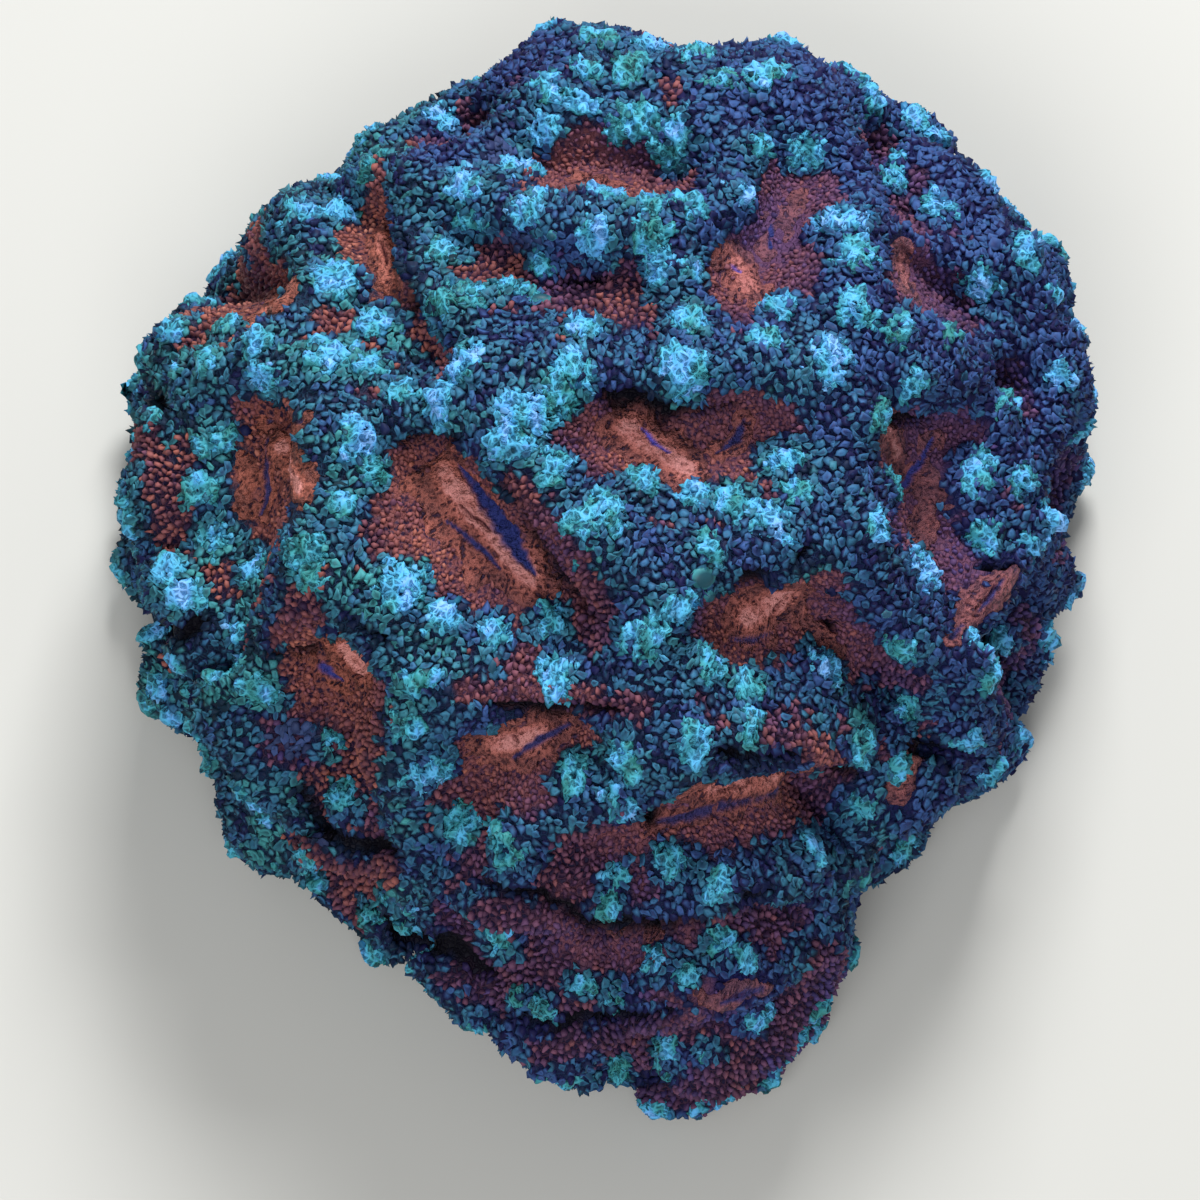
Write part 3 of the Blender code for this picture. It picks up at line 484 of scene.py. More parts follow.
def lip_rise(points, lips):
    """The height of the lips, a rounded mound along each line: LIP_HEIGHT times the square of 1 - gap^2.

    gap is the distance to the line in half widths, spread by LIP_SPREAD.
    """
    rise = np.zeros(points.shape[:-1])
    for line, half_width in lips:
        gap = nearest_on_line(points, line)[1]
        rise = np.maximum(rise, np.clip(1.0 - (gap / (LIP_SPREAD * half_width)) ** 2, 0.0, 1.0) ** 2)
    return LIP_HEIGHT * rise


def ridged(points, to_cut, lines, lips):
    """The dome's points moved out onto the ridges.

    The share of a ridge's height is 1 - (1 - rise^1.5)^2.2, where rise runs from 0 near a mouth to 1 half way to the
    next. A ridge leans LEAN_WAY as it rises. Gives the points, that share, and the way across each ridge.
    """
    first, second, near, after = cells(points, to_cut, lines)
    half = 0.5 * (first + second)
    rise = np.clip((first / half - MOUTH_FLOOR) / (1.0 - MOUTH_FLOOR), 0.0, 1.0)
    share = 1.0 - (1.0 - rise**RIDGE_FOOT_POWER) ** RIDGE_CROWN_POWER
    size = np.minimum(half / USUAL_HALF_CELL, MOST_RIDGE_SIZE)
    normal = normals(points)
    way = LEAN_WAY - (normal @ LEAN_WAY)[..., None] * normal
    way /= np.maximum(np.linalg.norm(way, axis=-1, keepdims=True), LEAST_WAY)
    foot = smoothstep(0.0, FOOT_FADE, to_cut)
    out = share * size * RIDGE_HEIGHT + (SWELL_HEIGHT * swell(points) + lip_rise(points, lips)) * foot
    lean = share * np.minimum(size, 1.0) * RIDGE_LEAN * foot
    moved = points + softened(out[..., None] * normal + lean[..., None] * way, points)
    moved[..., 2] = np.where(to_cut > 0.0, np.maximum(moved[..., 2], LEAST_SLOPE * to_cut), 0.0)
    return moved, share, unit(after - near)


def fitted_dome():
    """The dome whose ridges, seen along the sloping plane's normal, reach the outline all round.

    Each round moves the girdle out by most of what the ridges fall short.
    """
    directions = np.linspace(-math.pi, math.pi, FIT_DIRECTIONS, endpoint=False)
    centre_up = GIRDLE_HEIGHT * UP[2]
    girdle = outline_reach(directions) - FIRST_INSET
    bins = (np.arange(FIT_BINS) + 0.5) * math.tau / FIT_BINS - math.pi
    for _ in range(FIT_ROUNDS):
        dome = Dome(girdle)
        points, to_cut = dome.points(FIT_GRID)
        moved = ridged(points, to_cut, mouth_lines(dome), lip_lines(dome.hit))[0].reshape(-1, 3)
        across, up = moved @ ACROSS, moved @ UP - centre_up
        slot = ((np.arctan2(up, across) + math.pi) / math.tau * FIT_BINS).astype(int) % FIT_BINS
        reach = np.zeros(FIT_BINS)
        np.maximum.at(reach, slot, np.hypot(across, up))
        short = outline_reach(bins) - reach
        girdle = evened(girdle + FIT_PACE * np.interp(directions, bins, short, period=math.tau), 1)
    return Dome(girdle)


def seen_at(points, places):
    """For each (across, up), the grid point that is met first along the sloping plane's normal."""
    flat = points.reshape(-1, 3)
    across, up, depth = flat @ ACROSS, flat @ UP, flat @ OUT
    found = []
    for a, b in places:
        gap = np.hypot(across - a, up - b)
        close = gap < max(SIGHT_RADIUS, float(gap.min()) + 0.05)
        front = depth[close].max()
        found.append(int(np.where(close & (depth > front - SIGHT_DEPTH), gap, 1e6).argmin()))
    return np.array(found)


def far_tufts(points, share):
    """Crest points on the sides that don't show from the front, a fixed distance apart, in a seeded order."""
    flat = points.reshape(-1, 3)
    facing = normals(points).reshape(-1, 3) @ OUT
    able = np.flatnonzero((share.ravel() > CREST_SHARE) & (facing < -0.05) & (flat[:, 2] > LOWEST_TUFT))
    able = np.random.default_rng(SEED).permutation(able)
    kept = []
    for index in able:
        if all(np.linalg.norm(flat[index] - flat[other]) > FAR_TUFT_SPACING for other in kept):
            kept.append(int(index))
    return kept


def tuft_places(dome, lines, lips):
    """Where the tufts grow, found on the solid's own grid: centres, the way across each one's ridge, half widths."""
    points, to_cut = dome.points(SOLID_GRID)
    moved, share, ways = ridged(points, to_cut, lines, lips)
    index = np.array([*seen_at(moved, [place[:2] for place in TUFTS]), *far_tufts(moved, share)])
    widths = np.full(len(index), FAR_TUFT_WIDTH)
    widths[: len(TUFTS)] = [place[2] for place in TUFTS]
    return moved.reshape(-1, 3)[index], ways.reshape(-1, 3)[index], widths


def tuft_reach(places, tufts, long=TUFT_LONG, short=TUFT_SHORT):
    """Each place's elliptical distance to the nearest tuft, 1 on its rim, and which tuft that is.

    A tuft's half length across its ridge is its half width times long, and along the ridge it is times short.
    """
    least = np.full(len(places), 1e6)
    which = np.zeros(len(places), int)
    for number, (centre, way, width) in enumerate(zip(*tufts)):
        gap = places - centre
        along = gap @ way
        beside = np.maximum(dot(gap, gap) - along**2, 0.0)
        reach = np.sqrt((along / (long * width)) ** 2 + beside / (short * width) ** 2)
        which[reach < least] = number
        least = np.minimum(least, reach)
    return least, which


def cleft_distance(points):
    """Each point's distance to the nearest cleft, as seen from the front, in the cleft's half widths."""
    lines = [(places, halves + CLEFT_MARGIN) for places, halves in map(parted, CLEFTS)]
    return np.where(points @ OUT > 0.0, tapered_gap(seen_from_front(points), lines)[0], FAR_AWAY)


class Skin:
    """The colony's whole surface on a square grid, with what grows where."""

    def __init__(self, count):
        dome = fitted_dome()
        lines, lips = mouth_lines(dome), lip_lines(dome.hit)
        base, self.to_cut = dome.points(count)
        moved, self.share, self.ways = ridged(base, self.to_cut, lines, lips)
        self.tufts = tuft_places(dome, lines, lips)
        reach, _ = tuft_reach(moved.reshape(-1, 3), self.tufts, LUMP_LONG, LUMP_SHORT)
        lump = np.clip(1.0 - reach**2, 0.0, 1.0) ** 1.5 * TUFT_HEIGHT
        lump = lump.reshape(self.share.shape) * smoothstep(0.0, FOOT_FADE, self.to_cut)
        self.points = moved + lump[..., None] * normals(base)
        self.normals = normals(self.points)
        self.tilt = dot(self.normals - normals(base), UP)  # How much more a point faces up than the dome does.
        self.count = count
        self.cleft = cleft_distance(self.points)
        sunk = CLEFT_DEPTH * smoothstep(CLEFT_SLOPE[1], CLEFT_SLOPE[0], self.cleft)
        self.points = self.points - sunk[..., None] * self.normals

    def on(self, places):
        """The surface's point at each (across, up): the nearest grid point that shows, slid in its tangent plane."""
        places = np.asarray(places, float)
        index = seen_at(self.points, places)
        point = self.points.reshape(-1, 3)[index]
        normal = self.normals.reshape(-1, 3)[index]
        slide = (places[:, :1] - point @ ACROSS[:, None]) * ACROSS + (places[:, 1:] - point @ UP[:, None]) * UP
        depth = -dot(normal, slide) / np.maximum(normal @ OUT, 0.35)
        return point + slide + depth[:, None] * OUT


# -------------------------------------------------------------------------------------------------------------------
# Patterns and scattering
# -------------------------------------------------------------------------------------------------------------------


def drift(points, length, seed):
    """Smooth blotches about half of length across, about 1 up or down: ten waves in random directions, added up."""
    draw = np.random.default_rng(seed)
    total = np.zeros(points.shape[:-1])
    for _ in range(10):
        way = unit(draw.normal(size=3)) * math.tau / (length * draw.uniform(0.7, 1.4))
        total += np.sin(points @ way + draw.uniform(0.0, math.tau))
    return total / 2.6


def bent(points, amount, length, seed):
    """Points pushed about by smooth blotches, so that cells drawn on them have uneven sides."""
    return points + amount * np.stack([drift(points, length, seed + k) for k in range(3)], axis=-1)


def chance(cell, seed):
    """A number from 0 to 1 for each lattice cell: the fraction of a large sine of its indices."""
    return np.modf(np.abs(np.sin(cell @ np.array([12.9898, 78.233, 37.719]) + seed) * 43758.5453))[0]


def cellular(points, spacing, seed):
    """Each point's distances to the nearest and the next of scattered seeds, one in each cell of a cubic lattice.

    They are in spacings. Also a number from 0 to 1 that belongs to the nearest seed.
    """
    place = points / spacing
    home = np.floor(place)
    first = np.full(points.shape[:-1], 9.0)
    second = first.copy()
    number = np.zeros(points.shape[:-1])
    for dx in (-1, 0, 1):
        for dy in (-1, 0, 1):
            for dz in (-1, 0, 1):
                cell = home + (dx, dy, dz)
                pit = cell + np.stack([chance(cell, seed + k) for k in (1.0, 2.0, 3.0)], axis=-1)
                gap = np.linalg.norm(place - pit, axis=-1)
                wins = gap < first
                second = np.where(wins, first, np.minimum(second, gap))
                number = np.where(wins, chance(cell, seed + 4.0), number)
                first = np.minimum(first, gap)
    return first, second, number


def scattered(skin, per_square_mm, draw):
    """Random places on the skin, even by area: the quad each lies in, and its share of the way along both sides."""
    points = skin.points
    across = np.cross(points[1:, 1:] - points[:-1, :-1], points[:-1, 1:] - points[1:, :-1])
    total = np.cumsum(0.5 * np.linalg.norm(across, axis=-1).ravel())
    quad = np.searchsorted(total, draw.random(int(total[-1] * per_square_mm)) * total[-1])
    row, column = np.divmod(quad, skin.count - 1)
    return row, column, draw.random(len(quad)), draw.random(len(quad))


def mixed(field, spots):
    """A grid's values at scattered places, each mixed from the four corners of its quad."""
    row, column, s, t = spots
    if field.ndim == 3:
        s, t = s[:, None], t[:, None]
    low = field[row, column] * (1 - t) + field[row, column + 1] * t
    high = field[row + 1, column] * (1 - t) + field[row + 1, column + 1] * t
    return low * (1 - s) + high * s


def close_pairs(points, reach):
    """All pairs of points nearer than the mean of their two reaches, found between neighbour cells of a lattice."""
    cell = np.floor((points - points.min(axis=0)) / reach.max()).astype(np.int64) + 1
    span = cell.max(axis=0) + 2
    key = (cell[:, 0] * span[1] + cell[:, 1]) * span[2] + cell[:, 2]
    order = np.argsort(key, kind="stable")
    keys, start, count = np.unique(key[order], return_index=True, return_counts=True)
    steps = [(x, y, z) for x in (0, 1) for y in (-1, 0, 1) for z in (-1, 0, 1) if (x, y, z) >= (0, 0, 0)]
    pairs = []
    for x, y, z in steps:
        shift = (x * span[1] + y) * span[2] + z
        there = np.minimum(np.searchsorted(keys, keys + shift), len(keys) - 1)
        here = np.flatnonzero(keys[there] == keys + shift)
        there = there[here]
        many = count[here] * count[there]
        block = np.repeat(np.arange(len(here)), many)
        within = np.arange(many.sum()) - np.repeat(np.cumsum(many) - many, many)
        first = order[start[here][block] + within // count[there][block]]
        second = order[start[there][block] + within % count[there][block]]
        near = np.linalg.norm(points[first] - points[second], axis=1) < 0.5 * (reach[first] + reach[second])
        if shift == 0:
            near &= first < second
        pairs.append(np.stack([first[near], second[near]]))
    return np.concatenate(pairs, axis=1)


def spread(points, reach, draw):
    """Which points to keep so that no two are too close: in each round, those that outrank their neighbours."""
    first, second = close_pairs(points, reach)
    rank = draw.permutation(len(points))
    open_ones = np.ones(len(points), bool)
    kept = np.zeros(len(points), bool)
    while open_ones.any():
        best = np.full(len(points), len(points))
        np.minimum.at(best, first, rank[second])
        np.minimum.at(best, second, rank[first])
        wins = open_ones & (rank < best)
        kept |= wins
        open_ones[first[wins[second]]] = False
        open_ones[second[wins[first]]] = False
        open_ones &= ~wins
        still = open_ones[first] & open_ones[second]
        first, second = first[still], second[still]
    return np.flatnonzero(kept)


# -------------------------------------------------------------------------------------------------------------------
# Meshes
# -------------------------------------------------------------------------------------------------------------------

BAKE_MAP = "OFBake"

# Turned forms that are repeated: sides, rings of (radius, height, place on the section), a tip of (height, place).
BEAD = (5, [(1.0, -0.35, 0.0), (0.84, 0.66, 0.75)], (0.95, 1.0))
CUP = (6, [(0.8, -0.5, 0.0), (0.98, 0.78, 0.5)], (0.45, 1.0))
FRILL = (5, [(0.7, -0.4, 0.0), (1.0, 0.85, 0.5)], (0.45, 1.0))
MOST_UNEVEN = 1.8


def linked(name, data):
    """A new object in the scene."""
    thing = bpy.data.objects.new(name, data)
    bpy.context.scene.collection.objects.link(thing)
    return thing


def made(name, points, faces, material, uv, fields=None):
    """A smooth mesh piece from arrays: points in millimetres, faces of one size, a bake map and named fields.

    Nothing reaches below the cut: lower points are raised to it.
    """
    mesh = bpy.data.meshes.new(name)
    faces = np.ascontiguousarray(faces, np.int32)
    points = np.stack([points[:, 0], points[:, 1], np.maximum(points[:, 2], 0.0)], axis=-1)
    mesh.vertices.add(len(points))
    mesh.vertices.foreach_set("co", (points * MILLIMETRE).astype(np.float32).ravel())
    mesh.loops.add(faces.size)
    mesh.loops.foreach_set("vertex_index", faces.ravel())
    mesh.polygons.add(len(faces))
    mesh.polygons.foreach_set("loop_start", np.arange(0, faces.size, faces.shape[1], dtype=np.int32))
    layer = mesh.uv_layers.new(name=BAKE_MAP)
    layer.uv.foreach_set("vector", uv[faces.ravel()].astype(np.float32).ravel())
    for field, values in (fields or {}).items():
        mesh.attributes.new(field, "FLOAT", "POINT").data.foreach_set("value", values.astype(np.float32))
    mesh.update(calc_edges=True)
    mesh.validate()
    mesh.shade_smooth()
    mesh.materials.append(material)
    piece = linked(name, mesh)
    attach(piece, "root")
    return piece


def grid_quads(index):
    """The quads between the rows and columns of a grid of vertex numbers."""
    return np.stack([index[:-1, :-1], index[1:, :-1], index[1:, 1:], index[:-1, 1:]], axis=-1)


def ring_triangles(sides, rings):
    """The triangles of a form of rings of vertices, one after another, closed by a last vertex."""
    side = np.arange(sides)
    after = (side + 1) % sides
    faces = []
    for ring in range(rings - 1):
        low, high = ring * sides, (ring + 1) * sides
        faces.append(np.stack([low + side, low + after, high + after], axis=1))
        faces.append(np.stack([low + side, high + after, high + side], axis=1))
    last = (rings - 1) * sides
    faces.append(np.stack([last + side, last + after, np.full(sides, rings * sides)], axis=1))
    return np.concatenate(faces)


def turned(sides, rings, tip):
    """A small turned form: rings of (radius, height, place on the section), closed by a tip of (height, place).

    Gives each vertex's x, y, height and place, and the triangles.
    """
    angle = np.arange(sides) * math.tau / sides
    x = np.concatenate([radius * np.cos(angle) for radius, _, _ in rings] + [[0.0]])
    y = np.concatenate([radius * np.sin(angle) for radius, _, _ in rings] + [[0.0]])
    height = np.concatenate([np.full(sides, height) for _, height, _ in rings] + [[tip[0]]])
    place = np.concatenate([np.full(sides, place) for _, _, place in rings] + [[tip[1]]])
    return x, y, height, place, ring_triangles(sides, len(rings))


def tangents(normal, way, draw, looseness):
    """Two unit directions in each tangent plane: one along way, turned by a random angle up to looseness."""
    first = unit(way - dot(way, normal)[:, None] * normal)
    second = np.cross(normal, first)
    turn = draw.uniform(-looseness, looseness, len(normal))[:, None]
    return first * np.cos(turn) + second * np.sin(turn), second * np.cos(turn) - first * np.sin(turn)


def planted(name, form, stand, size, tall, lean, shade, glow, material, uneven=None):
    """Copies of a turned form stood on the skin.

    A vertex is its copy's spot, plus x and y times the copy's half length and half width along its two tangents, plus
    its height along the normal, plus the lean times its height squared. uneven gives factors for x and y and for
    height, vertex by vertex. The bake map is the copy's shade, a little more on one side, against the place on the
    form's section times the copy's glow.
    """
    point, normal, first, second = stand
    long, wide = size
    x, y, height, place, faces = form
    count, many = len(point), len(x)
    wider, taller = uneven if uneven is not None else (1.0, 1.0)
    out_x = x[None] * wider * long[:, None]
    out_y = y[None] * wider * wide[:, None]
    rise = height[None] * taller
    body = point[:, None] + out_x[..., None] * first[:, None] + out_y[..., None] * second[:, None]
    body = body + (rise * tall[:, None])[..., None] * normal[:, None]
    body = body + (np.maximum(rise, 0.0) ** 2)[..., None] * lean[:, None]
    uv = np.empty((count, many, 2))
    uv[..., 0] = np.clip(shade[:, None] + 0.012 * x[None], 0.01, 0.99)
    uv[..., 1] = np.clip(place[None] * glow[:, None], 0.01, 0.99)
    faces = faces[None] + (np.arange(count) * many)[:, None, None]
    return made(name, body.reshape(-1, 3), faces.reshape(-1, 3), material, uv.reshape(-1, 2))


def uneven_rim(count, sides, draw, amount):
    """Factors for a turned form of two rings, the upper one uneven: widths and heights by a random share each."""
    factors = []
    for share in (amount, 1.2 * amount):
        rim = 1.0 + share * np.clip(draw.normal(size=(count, sides)), -MOST_UNEVEN, MOST_UNEVEN)
        factors.append(np.concatenate([np.ones((count, sides)), rim, np.ones((count, 1))], axis=1))
    return factors


# -------------------------------------------------------------------------------------------------------------------
# Materials
# -------------------------------------------------------------------------------------------------------------------

RIM_PLACE = 0.5
MIDDLE_PLACE = 0.85

# Scales of patterns, in cells to the metre: a tuft's cups are 0.83 mm apart and its folds 0.34 mm, the skin's folds
# and pits 0.59 mm, and the polyps' walls in the cut 18 mm.
TUFT_CUPS = 1200.0
TUFT_FOLDS = 2900.0
SKIN_FOLDS = 1700.0
SKIN_PITS = 1700.0
POLYP_WALLS = 55.0
VELVET_GRAIN = 1900.0
STONE_GRAIN = 900.0


def colour(code):
    """An sRGB hex colour as linear red, green, blue and alpha."""
    parts = [int(code[k : k + 2], 16) / 255.0 for k in (1, 3, 5)]
    return [p / 12.92 if p <= 0.04045 else ((p + 0.055) / 1.055) ** 2.4 for p in parts] + [1.0]


def add(tree, kind, links=None, stops=None, **settings):
    """Adds a node and gives its outputs.

    links gives an input a value, a hex colour or another node's output. stops are a ramp's places and colours.
    """
    node = tree.nodes.new(kind)
    for name, value in settings.items():
        setattr(node, name, value)
    for name, value in (links or {}).items():
        if isinstance(value, bpy.types.NodeSocket):
            tree.links.new(value, node.inputs[name])
        else:
            node.inputs[name].default_value = colour(value) if isinstance(value, str) else value
    if stops:
        elements = node.color_ramp.elements
        while len(elements) < len(stops):
            elements.new(0.5)
        for element, (place, code) in zip(elements, stops):
            element.position = place
            element.color = colour(code)
    return node.outputs


def field(tree, name):
    """The mesh's own number of that name."""
    return add(tree, "ShaderNodeAttribute", attribute_name=name)["Fac"]


def ramp(tree, value, *stops):
    """The colour that a value picks between stops."""
    return add(tree, "ShaderNodeValToRGB", {"Fac": value}, stops)["Color"]


def blend(tree, share, first, second, kind="MIX"):
    """The first colour where the share is 0, and the second where it is 1."""
    links = {"Factor": share, "A": first, "B": second}
    return add(tree, "ShaderNodeMix", links, data_type="RGBA", blend_type=kind)["Result"]


def step(tree, value, low, high, start=0.0, end=1.0, kind="LINEAR"):
    """From start where the value is low to end where it is high, straight or as a smooth step."""
    links = {"Value": value, "From Min": low, "From Max": high, "To Min": start, "To Max": end}
    return add(tree, "ShaderNodeMapRange", links, interpolation_type=kind)["Result"]


def worked(tree, operation, *values):
    """The result of a sum on two or three values."""
    return add(tree, "ShaderNodeMath", dict(enumerate(values)), operation=operation)["Value"]


def seeds(tree, place, scale, output="Distance", **settings):
    """Cells round scattered seeds: the distance to the nearest seed or the cell's edge, or the cell's own colour."""
    return add(tree, "ShaderNodeTexVoronoi", {"Vector": place, "Scale": scale}, **settings)[output]


def grain(tree, scale, detail, roughness=0.5):
    """Fine noise on object coordinates."""
    place = add(tree, "ShaderNodeTexCoord")["Object"]
    links = {"Vector": place, "Scale": scale, "Detail": detail, "Roughness": roughness}
    return add(tree, "ShaderNodeTexNoise", links)["Fac"]


def bent_place(tree, scale, amount):
    """Object coordinates, pushed about by a noise, so that cells drawn on them have uneven sides."""
    place = add(tree, "ShaderNodeTexCoord")["Object"]
    noise = add(tree, "ShaderNodeTexNoise", {"Vector": place, "Scale": scale, "Detail": 1.0})["Color"]
    links = {0: noise, 1: (amount, amount, amount), 2: place}
    return add(tree, "ShaderNodeVectorMath", links, operation="MULTIPLY_ADD")["Vector"]


def new_material(name):
    """An empty material and its tree."""
    material = bpy.data.materials.new(name)
    material.use_nodes = True
    material.node_tree.nodes.clear()
    return material, material.node_tree


def finished(material, base, roughness, specular, height=None, depth=0.0, strength=1.0):
    """Matte flesh, paper or stone with a faint gloss, and relief where a height is given."""
    tree = material.node_tree
    links = {"Base Color": base, "Roughness": roughness, "Specular IOR Level": specular}
    if height is not None:
        relief = {"Height": height, "Distance": depth, "Strength": strength}
        links["Normal"] = add(tree, "ShaderNodeBump", relief)["Normal"]
    add(tree, "ShaderNodeOutputMaterial", {"Surface": add(tree, "ShaderNodeBsdfPrincipled", links)["BSDF"]})
    return material


def papilla_material(name, tips, roots, rise, middle=1.0, roughness=0.6, specular=0.15):
    """Flesh of small papillae.

    The bake map's first number picks a colour for the tip and one for the root. Its second, the place on the section,
    runs from root to tip between the two ends of rise. With middle under 1 the tip's colour fades again past the rim.
    A darker root is painted shade at a papilla's foot, and past the rim in a cup's middle; the blisters' paler root
    is painted sheen at their edge.
    """
    material, tree = new_material(name)
    chart = add(tree, "ShaderNodeSeparateXYZ", {"Vector": add(tree, "ShaderNodeUVMap", uv_map=BAKE_MAP)["UV"]})
    tip = ramp(tree, chart["X"], *tips)
    root = ramp(tree, chart["X"], *roots)
    risen = step(tree, chart["Y"], *rise)
    left = step(tree, chart["Y"], RIM_PLACE, MIDDLE_PLACE, 1.0, middle)
    return finished(material, blend(tree, worked(tree, "MULTIPLY", risen, left), root, tip), roughness, specular)


def rust_papilla_flesh():
    """Rust-red polyp flesh in small round papillae: near black between them, painted shade, and brick and orange on
    the tips.
    """
    tips = (0.0, "#50427A"), (0.25, "#704A6A"), (0.5, "#8C5458"), (0.75, "#A86456"), (1.0, "#C48474")
    roots = (0.0, "#19163E"), (0.5, "#221634"), (1.0, "#3A2234")
    return papilla_material("rust_papilla_flesh", tips, roots, (0.0, 1.0))


def teal_papilla_flesh():
    """Dark slate-teal flesh of the ridges' small cups, some of it slate blue, with paler rims. The cups' middles and
    feet are painted darker, painted shade.
    """
    tips = (0.0, "#3C5C98"), (0.25, "#38709A"), (0.5, "#3C7C9A"), (0.75, "#42929A"), (1.0, "#52B4BA")
    roots = (0.0, "#1A1A48"), (0.25, "#181E48"), (0.5, "#142440"), (0.75, "#122C3A"), (1.0, "#143E48")
    return papilla_material("teal_papilla_flesh", tips, roots, (0.23, 0.52), 0.25)


def violet_papilla_flesh():
    """The few violet patches: slate-violet rims over deep blue, painted shade in the cups' middles and at their feet.
    """
    tips = (0.0, "#303A60"), (0.5, "#3A4C74"), (1.0, "#48609A")
    roots = (0.0, "#181A40"), (1.0, "#24285C")
    return papilla_material("violet_papilla_flesh", tips, roots, (0.1, 0.52), 0.5)


def frill_flesh():
    """The tufts' small frilled cups: bright cyan rims round dimmer middles, some greener and some paler blue. The
    dimmer middles and dark feet are painted shade.
    """
    tips = (0.0, "#36848E"), (0.35, "#48AAC0"), (0.7, "#5EBCE8"), (1.0, "#84C0F8")
    roots = (0.0, "#0E3440"), (0.5, "#15506A"), (1.0, "#2C78B0")
    return papilla_material("frill_flesh", tips, roots, (0.15, 0.55), 0.3)


def vesicle_membrane():
    """Smooth blisters among the papillae: dull sea green with a paler rim, painted sheen where the dome turns away,
    taut and a little glossier.
    """
    tips = (0.0, "#1E4A56"), (0.5, "#24546A"), (1.0, "#3E5C84")
    roots = (0.0, "#46989E"), (0.5, "#52A8BC"), (1.0, "#7090C0")
    return papilla_material("vesicle_membrane", tips, roots, (0.2, 0.6), roughness=0.45, specular=0.2)


def tuft_flesh():
    """The tufts' frilled tissue: bright cyan rims round small teal cups, and near-black gaps between the lobes,
    painted shade.

    It is greener where it is dull, and here and there a cup is pale blue all over.
    """
    material, tree = new_material("tuft_flesh")
    place = bent_place(tree, 1100.0, 0.0006)
    body = field(tree, "rim")
    tone = field(tree, "tone")
    edge = seeds(tree, place, TUFT_CUPS, feature="DISTANCE_TO_EDGE")
    fold_edge = seeds(tree, place, TUFT_FOLDS, feature="DISTANCE_TO_EDGE")
    line = step(tree, edge, 0.30, 0.06, kind="SMOOTHSTEP")
    both = worked(tree, "MAXIMUM", line, step(tree, fold_edge, 0.25, 0.02, end=0.45))
    crisp = worked(tree, "MULTIPLY", both, worked(tree, "MULTIPLY_ADD", body, 0.55, 0.45))
    number = add(tree, "ShaderNodeSeparateXYZ", {"Vector": seeds(tree, place, TUFT_CUPS, "Color")})["X"]
    pale_cup = step(tree, number, 0.66, 0.9, end=0.6)
    lit = worked(tree, "MULTIPLY_ADD", pale_cup, body, crisp)
    bright = ramp(
        tree, tone, (0.0, "#348688"), (0.3, "#44A6BC"), (0.6, "#54B4E4"), (0.85, "#64B4F8"), (1.0, "#82BCFC"),
    )
    deep = ramp(tree, tone, (0.0, "#10343E"), (0.4, "#174A5C"), (0.8, "#225E8A"), (1.0, "#3678B8"))
    # Painted shade: near black in the gaps between the lobes and at the tuft's sunken edge.
    base = blend(tree, field(tree, "gap"), blend(tree, lit, deep, bright), "#0C2C38")
    return finished(material, base, 0.5, 0.2, both, 0.00025, 0.8)


def ground_flesh():
    """The thin living tissue under the papillae: dark purple in the valleys, brick with fine dark pits near a mouth.

    On the ridges it is slate with paler folds, and in the clefts near black. The dark valleys and ridges are painted
    shade between the papillae, the clefts' near black is painted shade, and the purple and slate blue are partly
    painted blue light.
    """
    material, tree = new_material("ground_flesh")
    fold_edge = seeds(tree, bent_place(tree, 1100.0, 0.0005), SKIN_FOLDS, feature="DISTANCE_TO_EDGE")
    fold = step(tree, fold_edge, 0.25, 0.0, kind="SMOOTHSTEP")
    pit = step(tree, seeds(tree, bent_place(tree, 1500.0, 0.0009), SKIN_PITS), 0.62, 0.18, kind="SMOOTHSTEP")
    plum_and_blue_light_share = field(tree, "plum_and_blue_light")
    # Painted shade: the ground shows only between the papillae, and is near black there.
    valley = ramp(tree, fold, (0.0, "#181230"), (1.0, "#40283E"))
    near_mouth = ramp(tree, pit, (0.0, "#844C44"), (0.5, "#523036"), (1.0, "#20142A"))
    rust = blend(tree, field(tree, "pitted"), valley, blend(tree, plum_and_blue_light_share, near_mouth, "#583C60"))
    ridge = blend(tree, plum_and_blue_light_share, ramp(tree, fold, (0.0, "#101C34"), (1.0, "#1C3850")), "#16164A")
    # Painted shade: near black in and round the clefts.
    base = blend(tree, field(tree, "cleft"), blend(tree, field(tree, "teal"), rust, ridge), "#070612")
    return finished(material, base, 0.6, 0.12, fold, 0.0003, 0.7)


